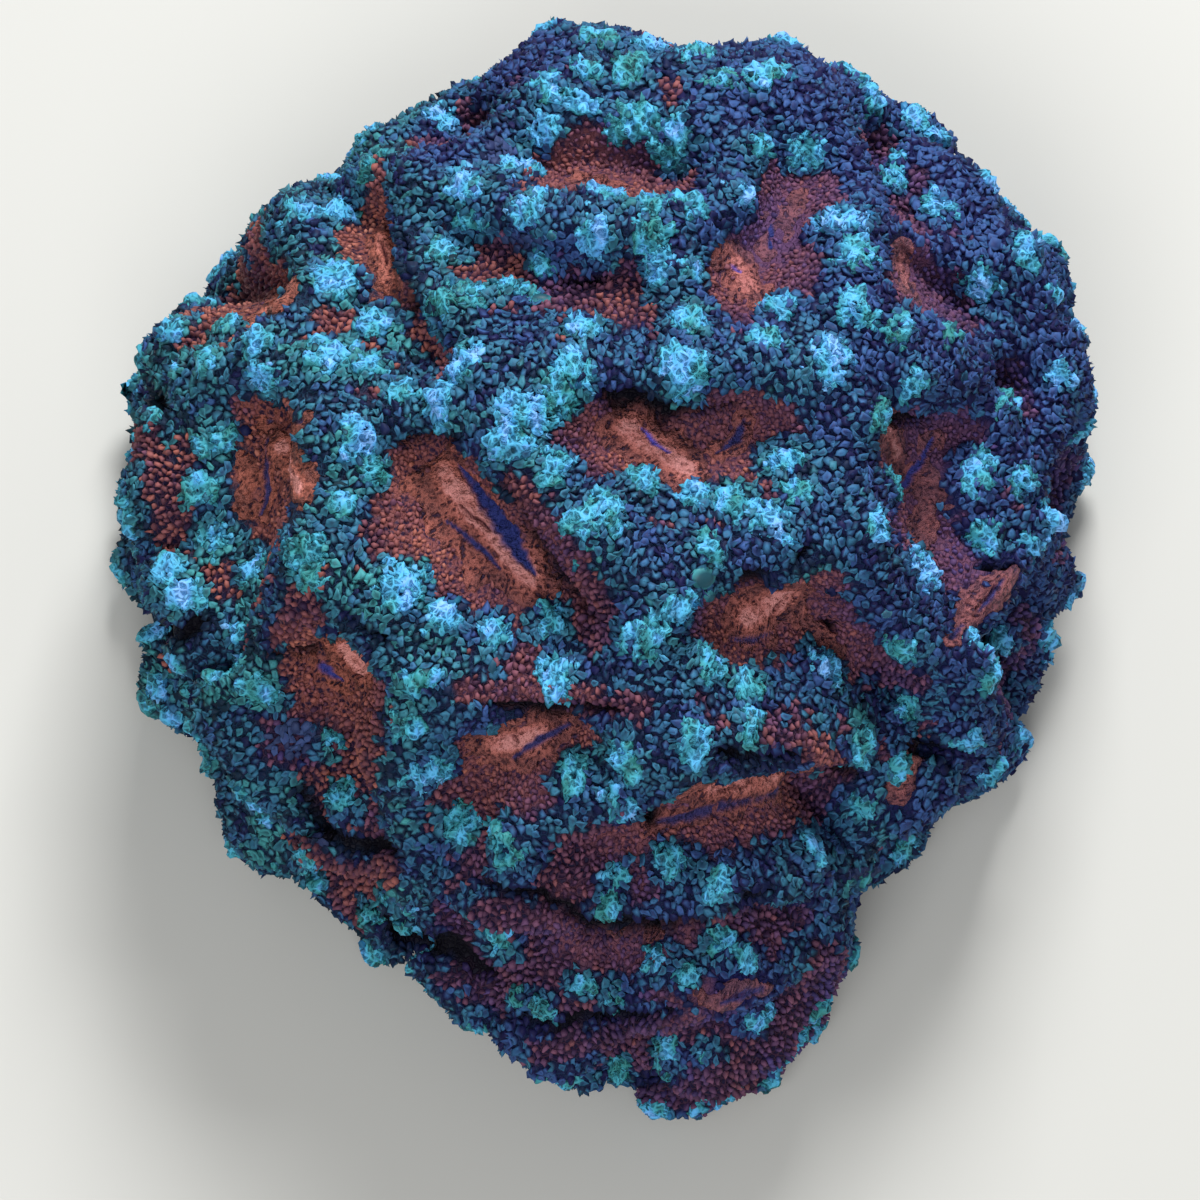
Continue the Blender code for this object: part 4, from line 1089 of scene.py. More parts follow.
def oral_disc_flesh():
    """The velvety flesh round a mouth: salmon lips, brick further out, fine pits, violet furrows and dark slits.

    The furrows are partly painted shade of the wall beside the lips. In and round the clefts the flesh is near black,
    painted shade, and it is bluer where painted blue light falls.
    """
    material, tree = new_material("oral_disc_flesh")
    noise = grain(tree, VELVET_GRAIN, 3.0, 0.65)
    # The grain makes the hollows' edges ragged.
    ragged = worked(tree, "ADD", field(tree, "hollow"), worked(tree, "MULTIPLY_ADD", noise, -1.6, 0.8))
    pit = step(tree, ragged, 0.03, 0.7, kind="SMOOTHSTEP")
    nap = worked(tree, "ADD", field(tree, "velvet"), worked(tree, "MULTIPLY_ADD", noise, 1.0, -0.5))
    web = ramp(
        tree, nap, (0.0, "#7C483E"), (0.3, "#A86050"), (0.55, "#C47464"), (0.8, "#D68478"), (1.0, "#E89C94"),
    )
    hole = ramp(tree, nap, (0.0, "#24162C"), (0.35, "#4C2C34"), (0.7, "#90524E"), (1.0, "#D08680"))
    # The furrows' violet is partly painted shade of the wall beside the lips.
    furrow = ramp(tree, field(tree, "blue"), (0.0, "#40304C"), (0.5, "#2C3678"), (1.0, "#5C58CC"))
    base = blend(tree, pit, web, hole)
    # Painted shade: near black in and round the clefts. The purple is partly painted blue light.
    for name, over in (("plum_and_blue_light", "#5C4468"), ("furrow", furrow), ("slit", "#541E2C"), ("cleft", "#080716")):
        base = blend(tree, field(tree, name), base, over)
    return finished(material, base, 0.5, 0.2, worked(tree, "MULTIPLY_ADD", pit, -0.6, noise), 0.0008)


def cut_skeleton_limestone():
    """The sawn underside: chalky aragonite, cream white, with the polyps' round walls between them."""
    material, tree = new_material("cut_skeleton_limestone")
    place = add(tree, "ShaderNodeTexCoord")["Object"]
    wall = seeds(tree, place, POLYP_WALLS, feature="DISTANCE_TO_EDGE", voronoi_dimensions="2D")
    noise = grain(tree, STONE_GRAIN, 4.0)
    walls = ramp(tree, wall, (0.0, "#F0EAD8"), (0.06, "#E6DEC8"), (0.12, "#C9BEA2"), (0.5, "#D8CFB6"))
    speck = ramp(tree, noise, (0.35, "#B8AC90"), (0.6, "#FFFFFF"))
    return finished(material, blend(tree, 1.0, walls, speck, "MULTIPLY"), 0.9, 0.2, noise, 0.0003, 0.6)


def matte_paper():
    """Matte pale paper for the studio floor."""
    material, _ = new_material("matte_paper")
    return finished(material, "#C6C6C2", 0.95, 0.1)


# -------------------------------------------------------------------------------------------------------------------
# The pieces
# -------------------------------------------------------------------------------------------------------------------

# Mouth slits: (across, up, half width) along each one.
SLITS = [
    [(-31.2, 14.9, 0.08), (-30.8, 13.8, 0.16), (-30.0, 12.6, 0.08)],
    [(-13.6, 9.4, 0.08), (-12.6, 8.3, 0.15), (-11.6, 7.8, 0.18), (-10.8, 6.9, 0.08)],
    [(16.5, -1.9, 0.06), (17.2, -0.8, 0.15), (18.0, 0.4, 0.06)],
    [(-8.9, -12.8, 0.06), (-8.4, -13.3, 0.14), (-8.0, -13.8, 0.06)],
    [(9.6, -19.2, 0.06), (12.0, -18.6, 0.13), (14.6, -18.2, 0.06)],
    [(-25.7, -4.8, 0.05), (-25.3, -6.0, 0.12), (-24.2, -7.2, 0.12), (-22.9, -7.7, 0.05)],
    [(-2.0, 42.6, 0.06), (-0.4, 42.2, 0.12), (1.0, 41.6, 0.06)],
    [(30.1, 33.6, 0.06), (30.3, 31.6, 0.14)],
    [(28.4, 16.8, 0.06), (28.7, 15.4, 0.13), (29.0, 14.1, 0.06)],
    [(37.2, -0.8, 0.06), (38.6, 0.4, 0.13), (39.4, 1.6, 0.06)],
    [(-33.6, 29.5, 0.06), (-32.2, 29.7, 0.12)],
    [(-22.0, 36.1, 0.06), (-21.6, 35.0, 0.15), (-21.2, 33.4, 0.06)],
    [(12.2, -39.4, 0.06), (13.6, -39.1, 0.13), (15.2, -38.6, 0.06)],
    [(30.2, -18.4, 0.06), (31.0, -16.8, 0.13)],
]

# Violet furrows beside the mouths, partly the flesh's own violet and partly painted shade of the wall beside the
# lips: blueness, then (across, up, half width) along each one.
FURROWS = [
    (0.3, [(-33.2, 16.1, 0.2), (-33.2, 13.6, 0.35), (-33.0, 11.1, 0.3), (-33.8, 8.6, 0.15)]),
    (0.1, [(-33.0, 17.9, 0.3), (-31.4, 18.0, 0.6), (-29.6, 17.8, 0.3)]),
    (0.5, [(-13.8, 13.4, 0.2), (-12.0, 11.2, 0.7), (-10.3, 9.0, 1.1), (-9.0, 7.1, 1.25), (-8.1, 5.0, 0.8),
           (-6.4, 2.6, 0.2)]),
    (0.4, [(-15.1, 7.9, 0.12), (-13.4, 6.6, 0.22), (-11.4, 4.9, 0.28), (-9.8, 3.2, 0.1)]),
    (1.0, [(4.1, 17.1, 0.1), (5.3, 15.6, 0.22), (6.8, 14.6, 0.12)]),
    (0.35, [(14.2, 17.8, 0.25), (13.6, 16.0, 0.45), (11.5, 14.6, 0.15)]),
    (0.3, [(12.6, -3.7, 0.12), (15.0, -3.9, 0.28), (17.0, -3.2, 0.12)]),
    (0.3, [(-8.5, -15.4, 0.15), (-6.0, -13.6, 0.45), (-3.0, -12.1, 0.2)]),
    (0.25, [(4.6, -22.0, 0.2), (8.0, -21.4, 0.5), (11.5, -20.4, 0.5), (14.0, -19.9, 0.3), (17.6, -18.8, 0.4),
            (20.5, -16.9, 0.2)]),
    (0.35, [(12.0, -39.8, 0.2), (14.0, -39.1, 0.55), (16.2, -38.5, 0.3)]),
    (0.6, [(-28.5, -5.1, 0.25), (-27.5, -6.5, 0.5), (-26.6, -7.3, 0.35), (-25.4, -7.9, 0.15)]),
    (0.9, [(12.8, 33.3, 0.08), (13.4, 33.1, 0.16), (14.0, 32.7, 0.08)]),
    (0.5, [(17.0, 37.6, 0.25), (17.2, 36.2, 0.4), (17.0, 35.1, 0.2)]),
    (0.6, [(33.2, 16.2, 0.2), (31.6, 13.4, 0.42), (30.4, 11.8, 0.45), (30.0, 10.4, 0.2)]),
    (0.35, [(40.2, 2.3, 0.12), (39.0, 0.6, 0.32), (37.5, -1.1, 0.12)]),
    (0.3, [(36.0, -2.4, 0.15), (34.8, -3.6, 0.3)]),
    (0.35, [(-35.5, 29.6, 0.12), (-33.4, 30.6, 0.3), (-31.2, 31.6, 0.15)]),
    (0.25, [(-1.0, -32.6, 0.15), (2.0, -33.2, 0.4), (5.2, -33.0, 0.15)]),
]

# How pale each pair of lips is, in the order of LIPS.
LIP_GLOW = [1.15, 1.0, 0.85, 0.9, 0.8, 0.7, 1.05, 0.25, 0.6, 0.8, 0.85, 0.25, 0.4, 0.5, 0.0, 0.35]

# More bare flesh, without lips: half width, then (across, up) along each strip.
BARE_STRIPS = [
    (2.0, [(31.8, 13.0), (32.4, 9.6), (32.0, 7.2)]),
    (1.7, [(-17.6, 12.6), (-15.4, 7.4), (-11.4, 2.8)]),
    (1.2, [(-35.0, 13.6), (-35.0, 8.6)]),
    (1.2, [(18.4, 36.0), (20.0, 41.0)]),
    (1.0, [(20.0, -1.8), (23.6, -4.6)]),
]

# How far bare flesh reaches past the lips, and how far past its ragged edge its mesh goes on, sinking under the skin.
DISC_REACH = 1.0
DISC_FADE = 0.9
DISC_CLEARANCE = 0.45

# How far out a disc's and a tuft's ragged edge is looked for, and how much of the foot stays bare of papillae.
NEAR_DISC = 1.5
NEAR_TUFT = 1.6
BARE_FOOT = 0.8

# How much finer the grid of bare flesh and tufts is than the skin's, and how far apart hollows and a tuft's cups are.
FINER = 3
HOLLOW_SPACING = 0.6
TUFT_CUP_SPACING = 0.9
CUT_RINGS = 6

# Where the flesh is purple rather than rust, in part painted blue light: across, up, radius, strength.
PLUM_PATCHES = [
    (17.0, 37.0, 6.0, 1.0), (-3.0, 33.0, 6.0, 0.8), (34.0, 16.0, 7.0, 0.9), (35.0, 40.0, 8.0, 0.9),
    (45.0, 27.0, 6.0, 0.8), (30.0, -20.0, 5.0, 0.7), (-31.0, -14.0, 4.0, 0.6), (3.0, 46.0, 6.0, 0.5),
    (24.0, 50.0, 8.0, 0.6), (-7.0, 55.0, 6.0, 0.9), (14.0, 17.0, 3.0, 0.5), (-15.0, 46.0, 6.0, 0.6),
    (27.0, -6.0, 5.0, 0.5), (14.0, -39.4, 6.0, 1.0),
]

# Bands where the flesh is rust, whatever the ridges do: (across, up, half width) along each one.
RUST_BANDS = [
    [(-8.5, 12.0, 1.0), (-5.5, 7.5, 1.7), (-2.5, 3.5, 1.7), (0.0, -1.0, 1.6)],
    [(-45.5, 16.5, 1.4), (-43.5, 12.0, 2.2), (-42.5, 6.0, 1.8)],
    [(-28.0, 2.5, 1.3), (-30.0, -3.0, 2.3), (-27.0, -8.0, 3.2), (-24.0, -12.0, 2.8), (-24.0, -17.0, 2.0)],
    [(-13.0, -8.8, 1.2), (-5.0, -9.2, 1.1), (4.0, -10.2, 1.3)],
    [(-14.0, -18.5, 1.8), (-11.0, -20.5, 1.2)],
    [(17.0, -12.8, 1.2), (20.0, -13.5, 1.4), (23.0, -16.0, 1.2)],
    [(-3.0, -24.6, 1.8), (2.0, -23.2, 1.5), (8.0, -21.8, 1.3)],
    [(-30.5, -24.5, 1.3), (-26.0, -27.5, 1.4), (-20.5, -26.8, 1.1)],
    [(-11.0, -31.0, 1.5), (-5.0, -31.8, 2.0), (1.0, -34.6, 1.8), (6.0, -35.4, 0.9)],
    [(13.0, -32.0, 1.1), (17.0, -32.0, 1.3), (20.0, -31.0, 0.9)],
    [(-6.0, -44.6, 1.3), (0.0, -43.6, 1.3), (6.0, -42.2, 1.3), (10.5, -41.6, 0.9)],
    [(4.0, -50.2, 1.0), (9.0, -49.6, 1.7), (14.0, -48.0, 2.5), (18.5, -44.0, 3.1), (22.0, -39.0, 2.6),
     (22.6, -35.4, 1.5)],
    [(-16.0, -37.6, 0.7), (-11.0, -38.2, 0.9), (-6.0, -37.2, 0.9)],
    [(-5.5, 43.0, 1.8), (0.0, 45.4, 2.0), (4.0, 43.4, 1.7)],
    [(-22.4, 43.5, 0.8), (-21.8, 38.0, 1.0)],
    [(31.0, 32.0, 2.2), (34.5, 30.5, 2.2)],
    [(6.6, 51.6, 0.9), (7.6, 51.2, 0.9)],
]

# Bands where it is teal, in the same form.
TEAL_BANDS = [
    [(12.0, -9.0, 1.8), (19.0, -8.0, 2.2), (25.0, -9.5, 2.0), (30.0, -12.0, 2.6)],
    [(-1.5, -15.5, 1.6), (3.5, -17.0, 2.2), (6.0, -15.0, 1.6)],
    [(24.0, -20.5, 1.4), (27.0, -19.0, 1.6)],
    [(6.0, -26.2, 1.8), (12.0, -26.8, 2.2), (19.0, -25.2, 1.8), (24.0, -23.0, 1.4)],
    [(-38.5, -16.5, 1.5), (-35.5, -21.0, 2.4), (-33.0, -25.5, 1.8)],
    [(-20.0, 25.5, 1.6), (-17.5, 22.5, 1.6)],
    [(-9.0, 27.0, 1.6), (-2.0, 27.0, 1.2)],
    [(26.0, 33.0, 1.5), (27.0, 40.0, 1.2)],
    [(26.5, 22.0, 1.6), (24.6, 13.0, 1.2)],
    [(4.5, -37.2, 1.3), (10.0, -36.2, 1.6), (15.0, -35.2, 1.4)],
    [(3.5, 9.6, 1.2), (7.0, 8.8, 1.2)],
    [(-18.0, -24.5, 1.3), (-15.0, -26.5, 1.3)],
]

# Smooth blisters: across, up, half length across, half length up, height, shade.
VESICLES = [
    (10.0, 2.3, 1.4, 1.3, 0.8, 0.1), (10.5, 0.7, 0.7, 0.8, 0.9, 0.2), (-4.7, 36.3, 0.6, 0.6, 0.5, 0.4),
    (-5.9, 29.7, 1.3, 0.8, 0.7, 0.1), (28.2, -1.1, 0.6, 0.6, 0.4, 0.6),
]

# A blister's mesh, the share of its height that is sunk, and how far it is raised off the ground tissue.
BLISTER_SIDES = 14
BLISTER_RINGS = 6
BLISTER_ROOT = 0.25
BLISTER_RAISE = 0.25

# Violet patches: across, up, half length across, half length up.
VIOLET_PATCHES = [
    (-10.0, 44.8, 1.6, 1.3), (-7.8, 35.9, 1.8, 0.9), (-30.6, -13.7, 2.4, 1.7), (-36.0, 26.5, 0.4, 0.4),
    (-36.5, 22.1, 0.4, 0.4), (-25.8, -25.3, 0.4, 0.4), (-27.5, -24.0, 0.4, 0.4), (15.0, 38.1, 0.5, 0.5),
    (26.0, -27.2, 2.2, 0.7), (30.5, -19.4, 0.5, 0.5),
]

# Tufts that are dull and greenish rather than bright: across, up. Those near the colony's rim are dim partly as
# painted shade, where they turn away from the light.
DULL_AND_SHADED_TUFTS = [
    (-0.2, 56.0), (12.6, 51.8), (3.1, 53.2), (-22.8, 44.0), (-14.6, 29.6), (28.6, 26.4), (26.8, 18.4), (34.4, 26.2),
    (40.6, 19.2), (-3.8, 20.2), (10.6, 5.0), (29.0, 11.4), (30.2, -5.0), (-34.0, -26.4), (-29.2, -28.4),
    (26.2, -27.8), (1.0, -30.2), (5.0, 36.2), (-8.0, -39.8), (2.0, -46.8), (-6.0, -47.2),
]
DULL_TONE = 0.2


class Fine:
    """The skin's grid made a whole number of times finer each way by a Catmull-Rom spline."""

    def __init__(self, skin, times):
        last = skin.count - 1
        place = np.linspace(0, last, last * times + 1)
        base = np.minimum(place.astype(int), last - 1)
        f = place - base
        taps = 0.5 * np.stack([-f + 2 * f**2 - f**3, 2 - 5 * f**2 + 3 * f**3, f + 4 * f**2 - 3 * f**3, f**3 - f**2])
        self.weights = np.zeros((len(place), skin.count))
        for k in range(4):
            np.add.at(self.weights, (np.arange(len(place)), np.clip(base - 1 + k, 0, last)), taps[k])
        self.points = self.raised(skin.points)
        self.normals = normals(self.points)
        self.cleft = self.raised(skin.cleft)
        self.to_cut = self.raised(skin.to_cut)
        self.count = len(place)

    def raised(self, field):
        """A field of the skin's grid on the finer grid."""
        rows = np.tensordot(self.weights, field, axes=(1, 0))
        return np.swapaxes(np.tensordot(self.weights, rows, axes=(1, 1)), 0, 1)

    def cut_out(self, name, near, points, keep, fields, material):
        """A piece of the finer grid: the quads whose corners are all kept. near marks the grid points that points and
        fields were worked out for."""
        rows = np.flatnonzero(keep.any(axis=1))
        columns = np.flatnonzero(keep.any(axis=0))
        whole = keep[:-1, :-1] & keep[1:, :-1] & keep[1:, 1:] & keep[:-1, 1:]
        index = np.arange(keep.size).reshape(keep.shape)
        used, quads = np.unique(grid_quads(index)[whole], return_inverse=True)
        place = np.full(keep.size, -1)
        place[near.ravel()] = np.arange(len(points))
        chosen = place[used]
        row, column = np.divmod(used, self.count)
        uv = np.stack([
            (row - rows[0]) / (rows[-1] - rows[0]), (column - columns[0]) / (columns[-1] - columns[0]),
        ], axis=-1)
        fields = {field: values[chosen] for field, values in fields.items()}
        return made(name, points[chosen], quads.reshape(-1, 4), material, uv, fields)


class Mouths:
    """The open mouths' lines, laid on the skin."""

    def __init__(self, skin):
        self.slits = [(skin.on(places), halves) for places, halves in map(parted, SLITS)]
        self.furrows = [(skin.on(places), halves) for places, halves in (parted(line) for _, line in FURROWS)]
        self.blue = np.array([blue for blue, _ in FURROWS])
        self.bare = [(skin.on(line), half) for half, line in BARE_STRIPS]
        self.lips = lip_lines(skin.on)

    def nap(self, points):
        """How pale the flesh is: a pair of lips' own paleness at their middle, fading to nothing at their edge."""
        pale = np.zeros(points.shape[:-1])
        for (line, half), glow in zip(self.lips, LIP_GLOW):
            gap = nearest_on_line(points, line)[1]
            pale = np.maximum(pale, glow * smoothstep(0.95 * half + 0.1, 0.25 * half, gap))
        return pale

    def reach(self, points):
        """How far each point is past the nearest lips', furrow's or strip's edge. Dark lips count as narrower."""
        gap = np.full(points.shape[:-1], FAR_AWAY)
        for (line, half), glow in zip(self.lips, LIP_GLOW):
            gap = np.minimum(gap, nearest_on_line(points, line)[1] - half * (0.3 + 0.7 * min(1.0, glow / 0.6)))
        for line, halves in self.furrows:
            gap = np.minimum(gap, nearest_on_line(points, line)[1] - max(halves) + 0.4)
        for line, half in self.bare:
            gap = np.minimum(gap, nearest_on_line(points, line)[1] - half + DISC_REACH)
        return gap


def disc_edge(points, reach):
    """How far inside the bare disc's ragged edge a point is: over 0 is bare."""
    return DISC_REACH + 0.45 * drift(points, 4.0, 31) + 0.25 * drift(points, 1.4, 32) - reach


def cleft_painted_shade(gap):
    """How much painted shade a cleft puts on its surroundings: all dark at its middle, gone at 1.7 half widths."""
    return smoothstep(1.7, 0.8, gap)


def plum_and_blue_light(points):
    """How far the flesh turns purple or slate blue, from 0 to 1: partly its own tone, partly painted blue light.

    It is more so to the right and low at the front, with a round fading patch at each place listed, and a quarter on
    the sides that don't show from the front.
    """
    across, up = points @ ACROSS, points @ UP
    share = 0.08 + 0.27 * smoothstep(-26.0, -6.0, across) + 0.45 * smoothstep(14.0, 44.0, across + 0.35 * up)
    share = share + 0.2 * smoothstep(-18.0, -35.0, up)
    for a, b, radius, strength in PLUM_PATCHES:
        gap = np.hypot(across - a, up - b) / radius
        share = np.maximum(share, strength * smoothstep(1.15, 0.35, gap))
    seen = smoothstep(-14.0, 6.0, points @ OUT)
    return share * seen + 0.25 * (1.0 - seen)


def oral_discs(skin, fine, mouths, material):
    """The bare flesh round every open mouth, on the finer grid.

    A point rises with the lips beside the slit, drops into the slit, the furrows and the scattered hollows, and sinks
    under the skin at the disc's edge.
    """
    near = fine.raised(mouths.reach(skin.points)) < DISC_REACH + DISC_FADE + NEAR_DISC
    points, normal = fine.points[near], fine.normals[near]
    reach = mouths.reach(points)
    inside = disc_edge(points, reach)
    slit, _ = tapered_gap(points, mouths.slits)
    furrow, which = tapered_gap(points, mouths.furrows)
    in_furrow = smoothstep(1.5, 0.5, furrow + 0.2 * drift(points, 1.2, 5))
    velvet = np.clip(0.12 + 0.88 * mouths.nap(points) + 0.12 * drift(points, 2.5, 6), 0.0, 1.0)
    lip = np.exp(-(((slit - 3.2) / 2.2) ** 2))
    lift = 0.22 * lip - 0.6 * np.exp(-(slit**2)) - 0.25 * in_furrow + 0.1 + 0.08 * drift(points, 1.1, 7)
    first, _, number = cellular(bent(points, 0.2, 0.9, 62), HOLLOW_SPACING, 3.0)
    hollow = smoothstep(0.48, 0.14, first) * smoothstep(0.12, 0.6, number)
    hollow = hollow * (1.0 - in_furrow) * smoothstep(1.0, 0.5, velvet)
    lift = lift - 0.16 * hollow + 0.05 * drift(points, 0.7, 65)
    lift = lift - 0.8 * smoothstep(DISC_FADE * 0.3, -DISC_FADE * 0.6, inside)
    keep = np.zeros(near.shape, bool)
    keep[near] = inside > -DISC_FADE
    # The cleft field is painted shade, and the purple one partly painted blue light.
    fields = {
        "velvet": velvet, "furrow": in_furrow, "blue": mouths.blue[which], "slit": np.exp(-0.8 * slit**2),
        "plum_and_blue_light": 0.58 * plum_and_blue_light(points), "cleft": cleft_painted_shade(fine.cleft[near]), "hollow": hollow,
    }
    return fine.cut_out("oral_discs", near, points + lift[:, None] * normal, keep, fields, material)


def tuft_edge(points, reach):
    """How far inside its tuft's ragged edge a point is, in shares of the tuft: over 0 is tuft.

    Those that show from the front are a little smaller, the more so low down and towards the sides.
    """
    across, up = points @ ACROSS, points @ UP
    smaller = 0.07 + 0.09 * smoothstep(-12.0, -30.0, up) + 0.02 * smoothstep(18.0, 36.0, across)
    smaller = smaller + 0.05 * smoothstep(-10.0, -30.0, across)
    ragged = 0.16 * drift(points, 4.0, 41) + 0.12 * drift(points, 1.7, 42) + 0.07 * drift(points, 0.9, 43)
    return 1.0 - smaller * (points @ OUT > 0.0) - reach - ragged


def tuft_tones(tufts):
    """Each tuft's tone from 0, dull and green, to 1, pale blue: seeded, and low for those listed as dull, some of
    them as painted shade.
    """
    tones = np.random.default_rng(SEED + 1).uniform(0.3, 0.75, len(tufts[0]))
    tones[[number for number, place in enumerate(TUFTS) if place[:2] in DULL_AND_SHADED_TUFTS]] = DULL_TONE
    return tones


def tuft_webs(skin, fine, material):
    """The tufts' frilled tissue on the finer grid, in two pieces.

    Small cells cover it. A point rises with its nearness to a cell's rim, drops in the middle of the third of the
    cells that are dark gaps, painted shade, and sinks under the skin at the tuft's edge.
    """
    rough, _ = tuft_reach(skin.points.reshape(-1, 3), skin.tufts)
    near = fine.raised(rough.reshape(skin.share.shape)) < NEAR_TUFT
    near &= (fine.to_cut > BARE_FOOT) & (fine.cleft > 0.7)
    points, normal = fine.points[near], fine.normals[near]
    reach, which = tuft_reach(points, skin.tufts)
    inside = tuft_edge(points, reach)
    first, second, number = cellular(bent(points, 0.25, 1.3, 44), TUFT_CUP_SPACING, 0.0)
    rim = smoothstep(0.55, 0.12, second - first)
    plate = number > 0.85
    rim = np.where(plate, np.maximum(rim, 0.75), rim)
    deep = (number < 0.35) * smoothstep(0.42, 0.15, first)
    body = smoothstep(-0.08, 0.2, inside)
    lift = body * (0.15 + 0.6 * rim * (0.8 + 0.5 * drift(points, 1.6, 47)) - 0.5 * deep)
    lift = lift - 0.9 * smoothstep(0.0, -0.3, inside)
    tone = tuft_tones(skin.tufts)[which] + 0.2 * drift(points, 2.2, 48) + 0.15 * (number - 0.5)
    # Painted shade: a tuft is duller towards its edge, where it turns away from the light. It is also duller low at
    # the front, and bluer where painted blue light falls.
    tone = tone - 0.25 * smoothstep(0.3, 0.0, inside) + 0.2 * plate + 0.2 * (plum_and_blue_light(points) - 0.3)
    tone = tone - 0.15 * smoothstep(-12.0, -30.0, points @ UP)
    # Painted shade: near black in the sunken middles of a third of the cells, at the tuft's sunken edge, and in
    # blotches away from the rims.
    gap = np.maximum(0.85 * deep, smoothstep(-0.06, -0.2, inside))
    gap = np.maximum(gap, 0.7 * smoothstep(0.5, 1.1, drift(points, 1.5, 49)) * smoothstep(0.9, 0.5, rim))
    fields = {"rim": 0.4 + 0.6 * rim, "tone": np.clip(tone, 0.0, 1.0), "gap": gap}
    keep = np.zeros(near.shape, bool)
    keep[near] = inside > -0.3
    half = fine.count // 2
    for name, rows in (("tuft_webs_1", slice(half + 1, None)), ("tuft_webs_2", slice(None, half))):
        part = keep.copy()
        part[rows] = False
        fine.cut_out(name, near, points + lift[:, None] * normal, part, fields, material)


def in_bands(points, bands):
    """1 inside the nearest of several bands and 0 outside, across a soft ragged edge, as seen from the front."""
    gap = tapered_gap(seen_from_front(points), map(parted, bands))[0] + 0.3 * drift(points, 2.0, 23)
    return smoothstep(1.3, 0.8, gap) * (points @ OUT > 0.0)


def teal_share(points, share, tilt, tuft_distance):
    """How far the ridges' teal has taken over from the valleys' rust: near the crests and round the tufts.

    Its edge is ragged. It keeps to the ridges' lower sides, the more so low at the front, and the bands overrule it.
    """
    ragged = 0.10 * drift(points, 7.0, 21) + 0.06 * drift(points, 2.2, 22)
    low = smoothstep(0.0, -30.0, points @ UP) * (points @ OUT > 0.0)
    crest = smoothstep(0.62, 0.76, share + ragged - (0.10 + 0.16 * low) * tilt)
    halo = smoothstep(1.7 - 0.1 * low, 1.35 - 0.1 * low, tuft_distance - 2.0 * ragged)
    return np.maximum(np.maximum(crest, halo) * (1.0 - in_bands(points, RUST_BANDS)), in_bands(points, TEAL_BANDS))


def ground(skin, mouths, material):
    """The skin under everything: the form's grid, lowered where an oral disc covers it."""
    reach = mouths.reach(skin.points)
    covered = smoothstep(-0.2, 0.8, disc_edge(skin.points, reach))
    points = skin.points - DISC_CLEARANCE * covered[..., None] * skin.normals
    quads = grid_quads(np.arange(skin.count**2).reshape(skin.count, skin.count)).reshape(-1, 4)
    row, column = np.divmod(np.arange(skin.count**2), skin.count)
    uv = np.stack([row, column], axis=-1) / (skin.count - 1.0)
    flat = skin.points.reshape(-1, 3)
    near_tuft, _ = tuft_reach(flat, skin.tufts)
    teal = teal_share(flat, skin.share.ravel(), skin.tilt.ravel(), near_tuft)
    pitted = smoothstep(-6.0, -2.5, disc_edge(skin.points, reach).ravel() + 0.8 * drift(flat, 2.0, 61))
    fields = {"teal": teal, "pitted": pitted, "plum_and_blue_light": plum_and_blue_light(flat), "cleft": cleft_painted_shade(skin.cleft).ravel()}
    piece = made("living_skin", points.reshape(-1, 3), quads, material, uv, fields)
    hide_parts("coral_colony")
    return piece


def cut_face(skin, material):
    """The flat cut: a fan of rings from the skin's lowest edge in to the middle."""
    edge = skin.points
    ring = np.concatenate([edge[:-1, 0], edge[-1, :-1], edge[:0:-1, -1], edge[0, :0:-1]])
    share = np.linspace(1.0, 0.0, CUT_RINGS + 1)[:-1]
    middle = ring.mean(axis=0)
    points = middle + share[:, None, None] * (ring - middle)
    flat = np.concatenate([points.reshape(-1, 3), middle[None]]) * [1.0, 1.0, 0.0]
    faces = ring_triangles(len(ring), CUT_RINGS)[:, ::-1]
    low, high = flat[:, :2].min(axis=0), flat[:, :2].max(axis=0)
    return made("cut_underside", flat, faces, material, (flat[:, :2] - low) / (high - low))


# Papillae tried per square millimetre, and how far apart they are kept: the least distance, what chance adds at most,
# and a factor for those that don't show from the front.
PAPILLAE_TRIED = 10.0
RUST_SPACING = 0.40
TEAL_SPACING = 0.54
SPACING_SPREAD = 0.18
HIDDEN_SPACING = 1.4
FRILLS_TRIED = 9.0
FRILL_SPACING = 0.56
FRILL_SPACING_SPREAD = 0.16

# The most triangles in a piece, a papilla's uneven rim as a share of its size, and its lean.
MOST_TRIANGLES = 190000
RIM_UNEVENNESS = 0.36
PAPILLA_LEAN = 0.25


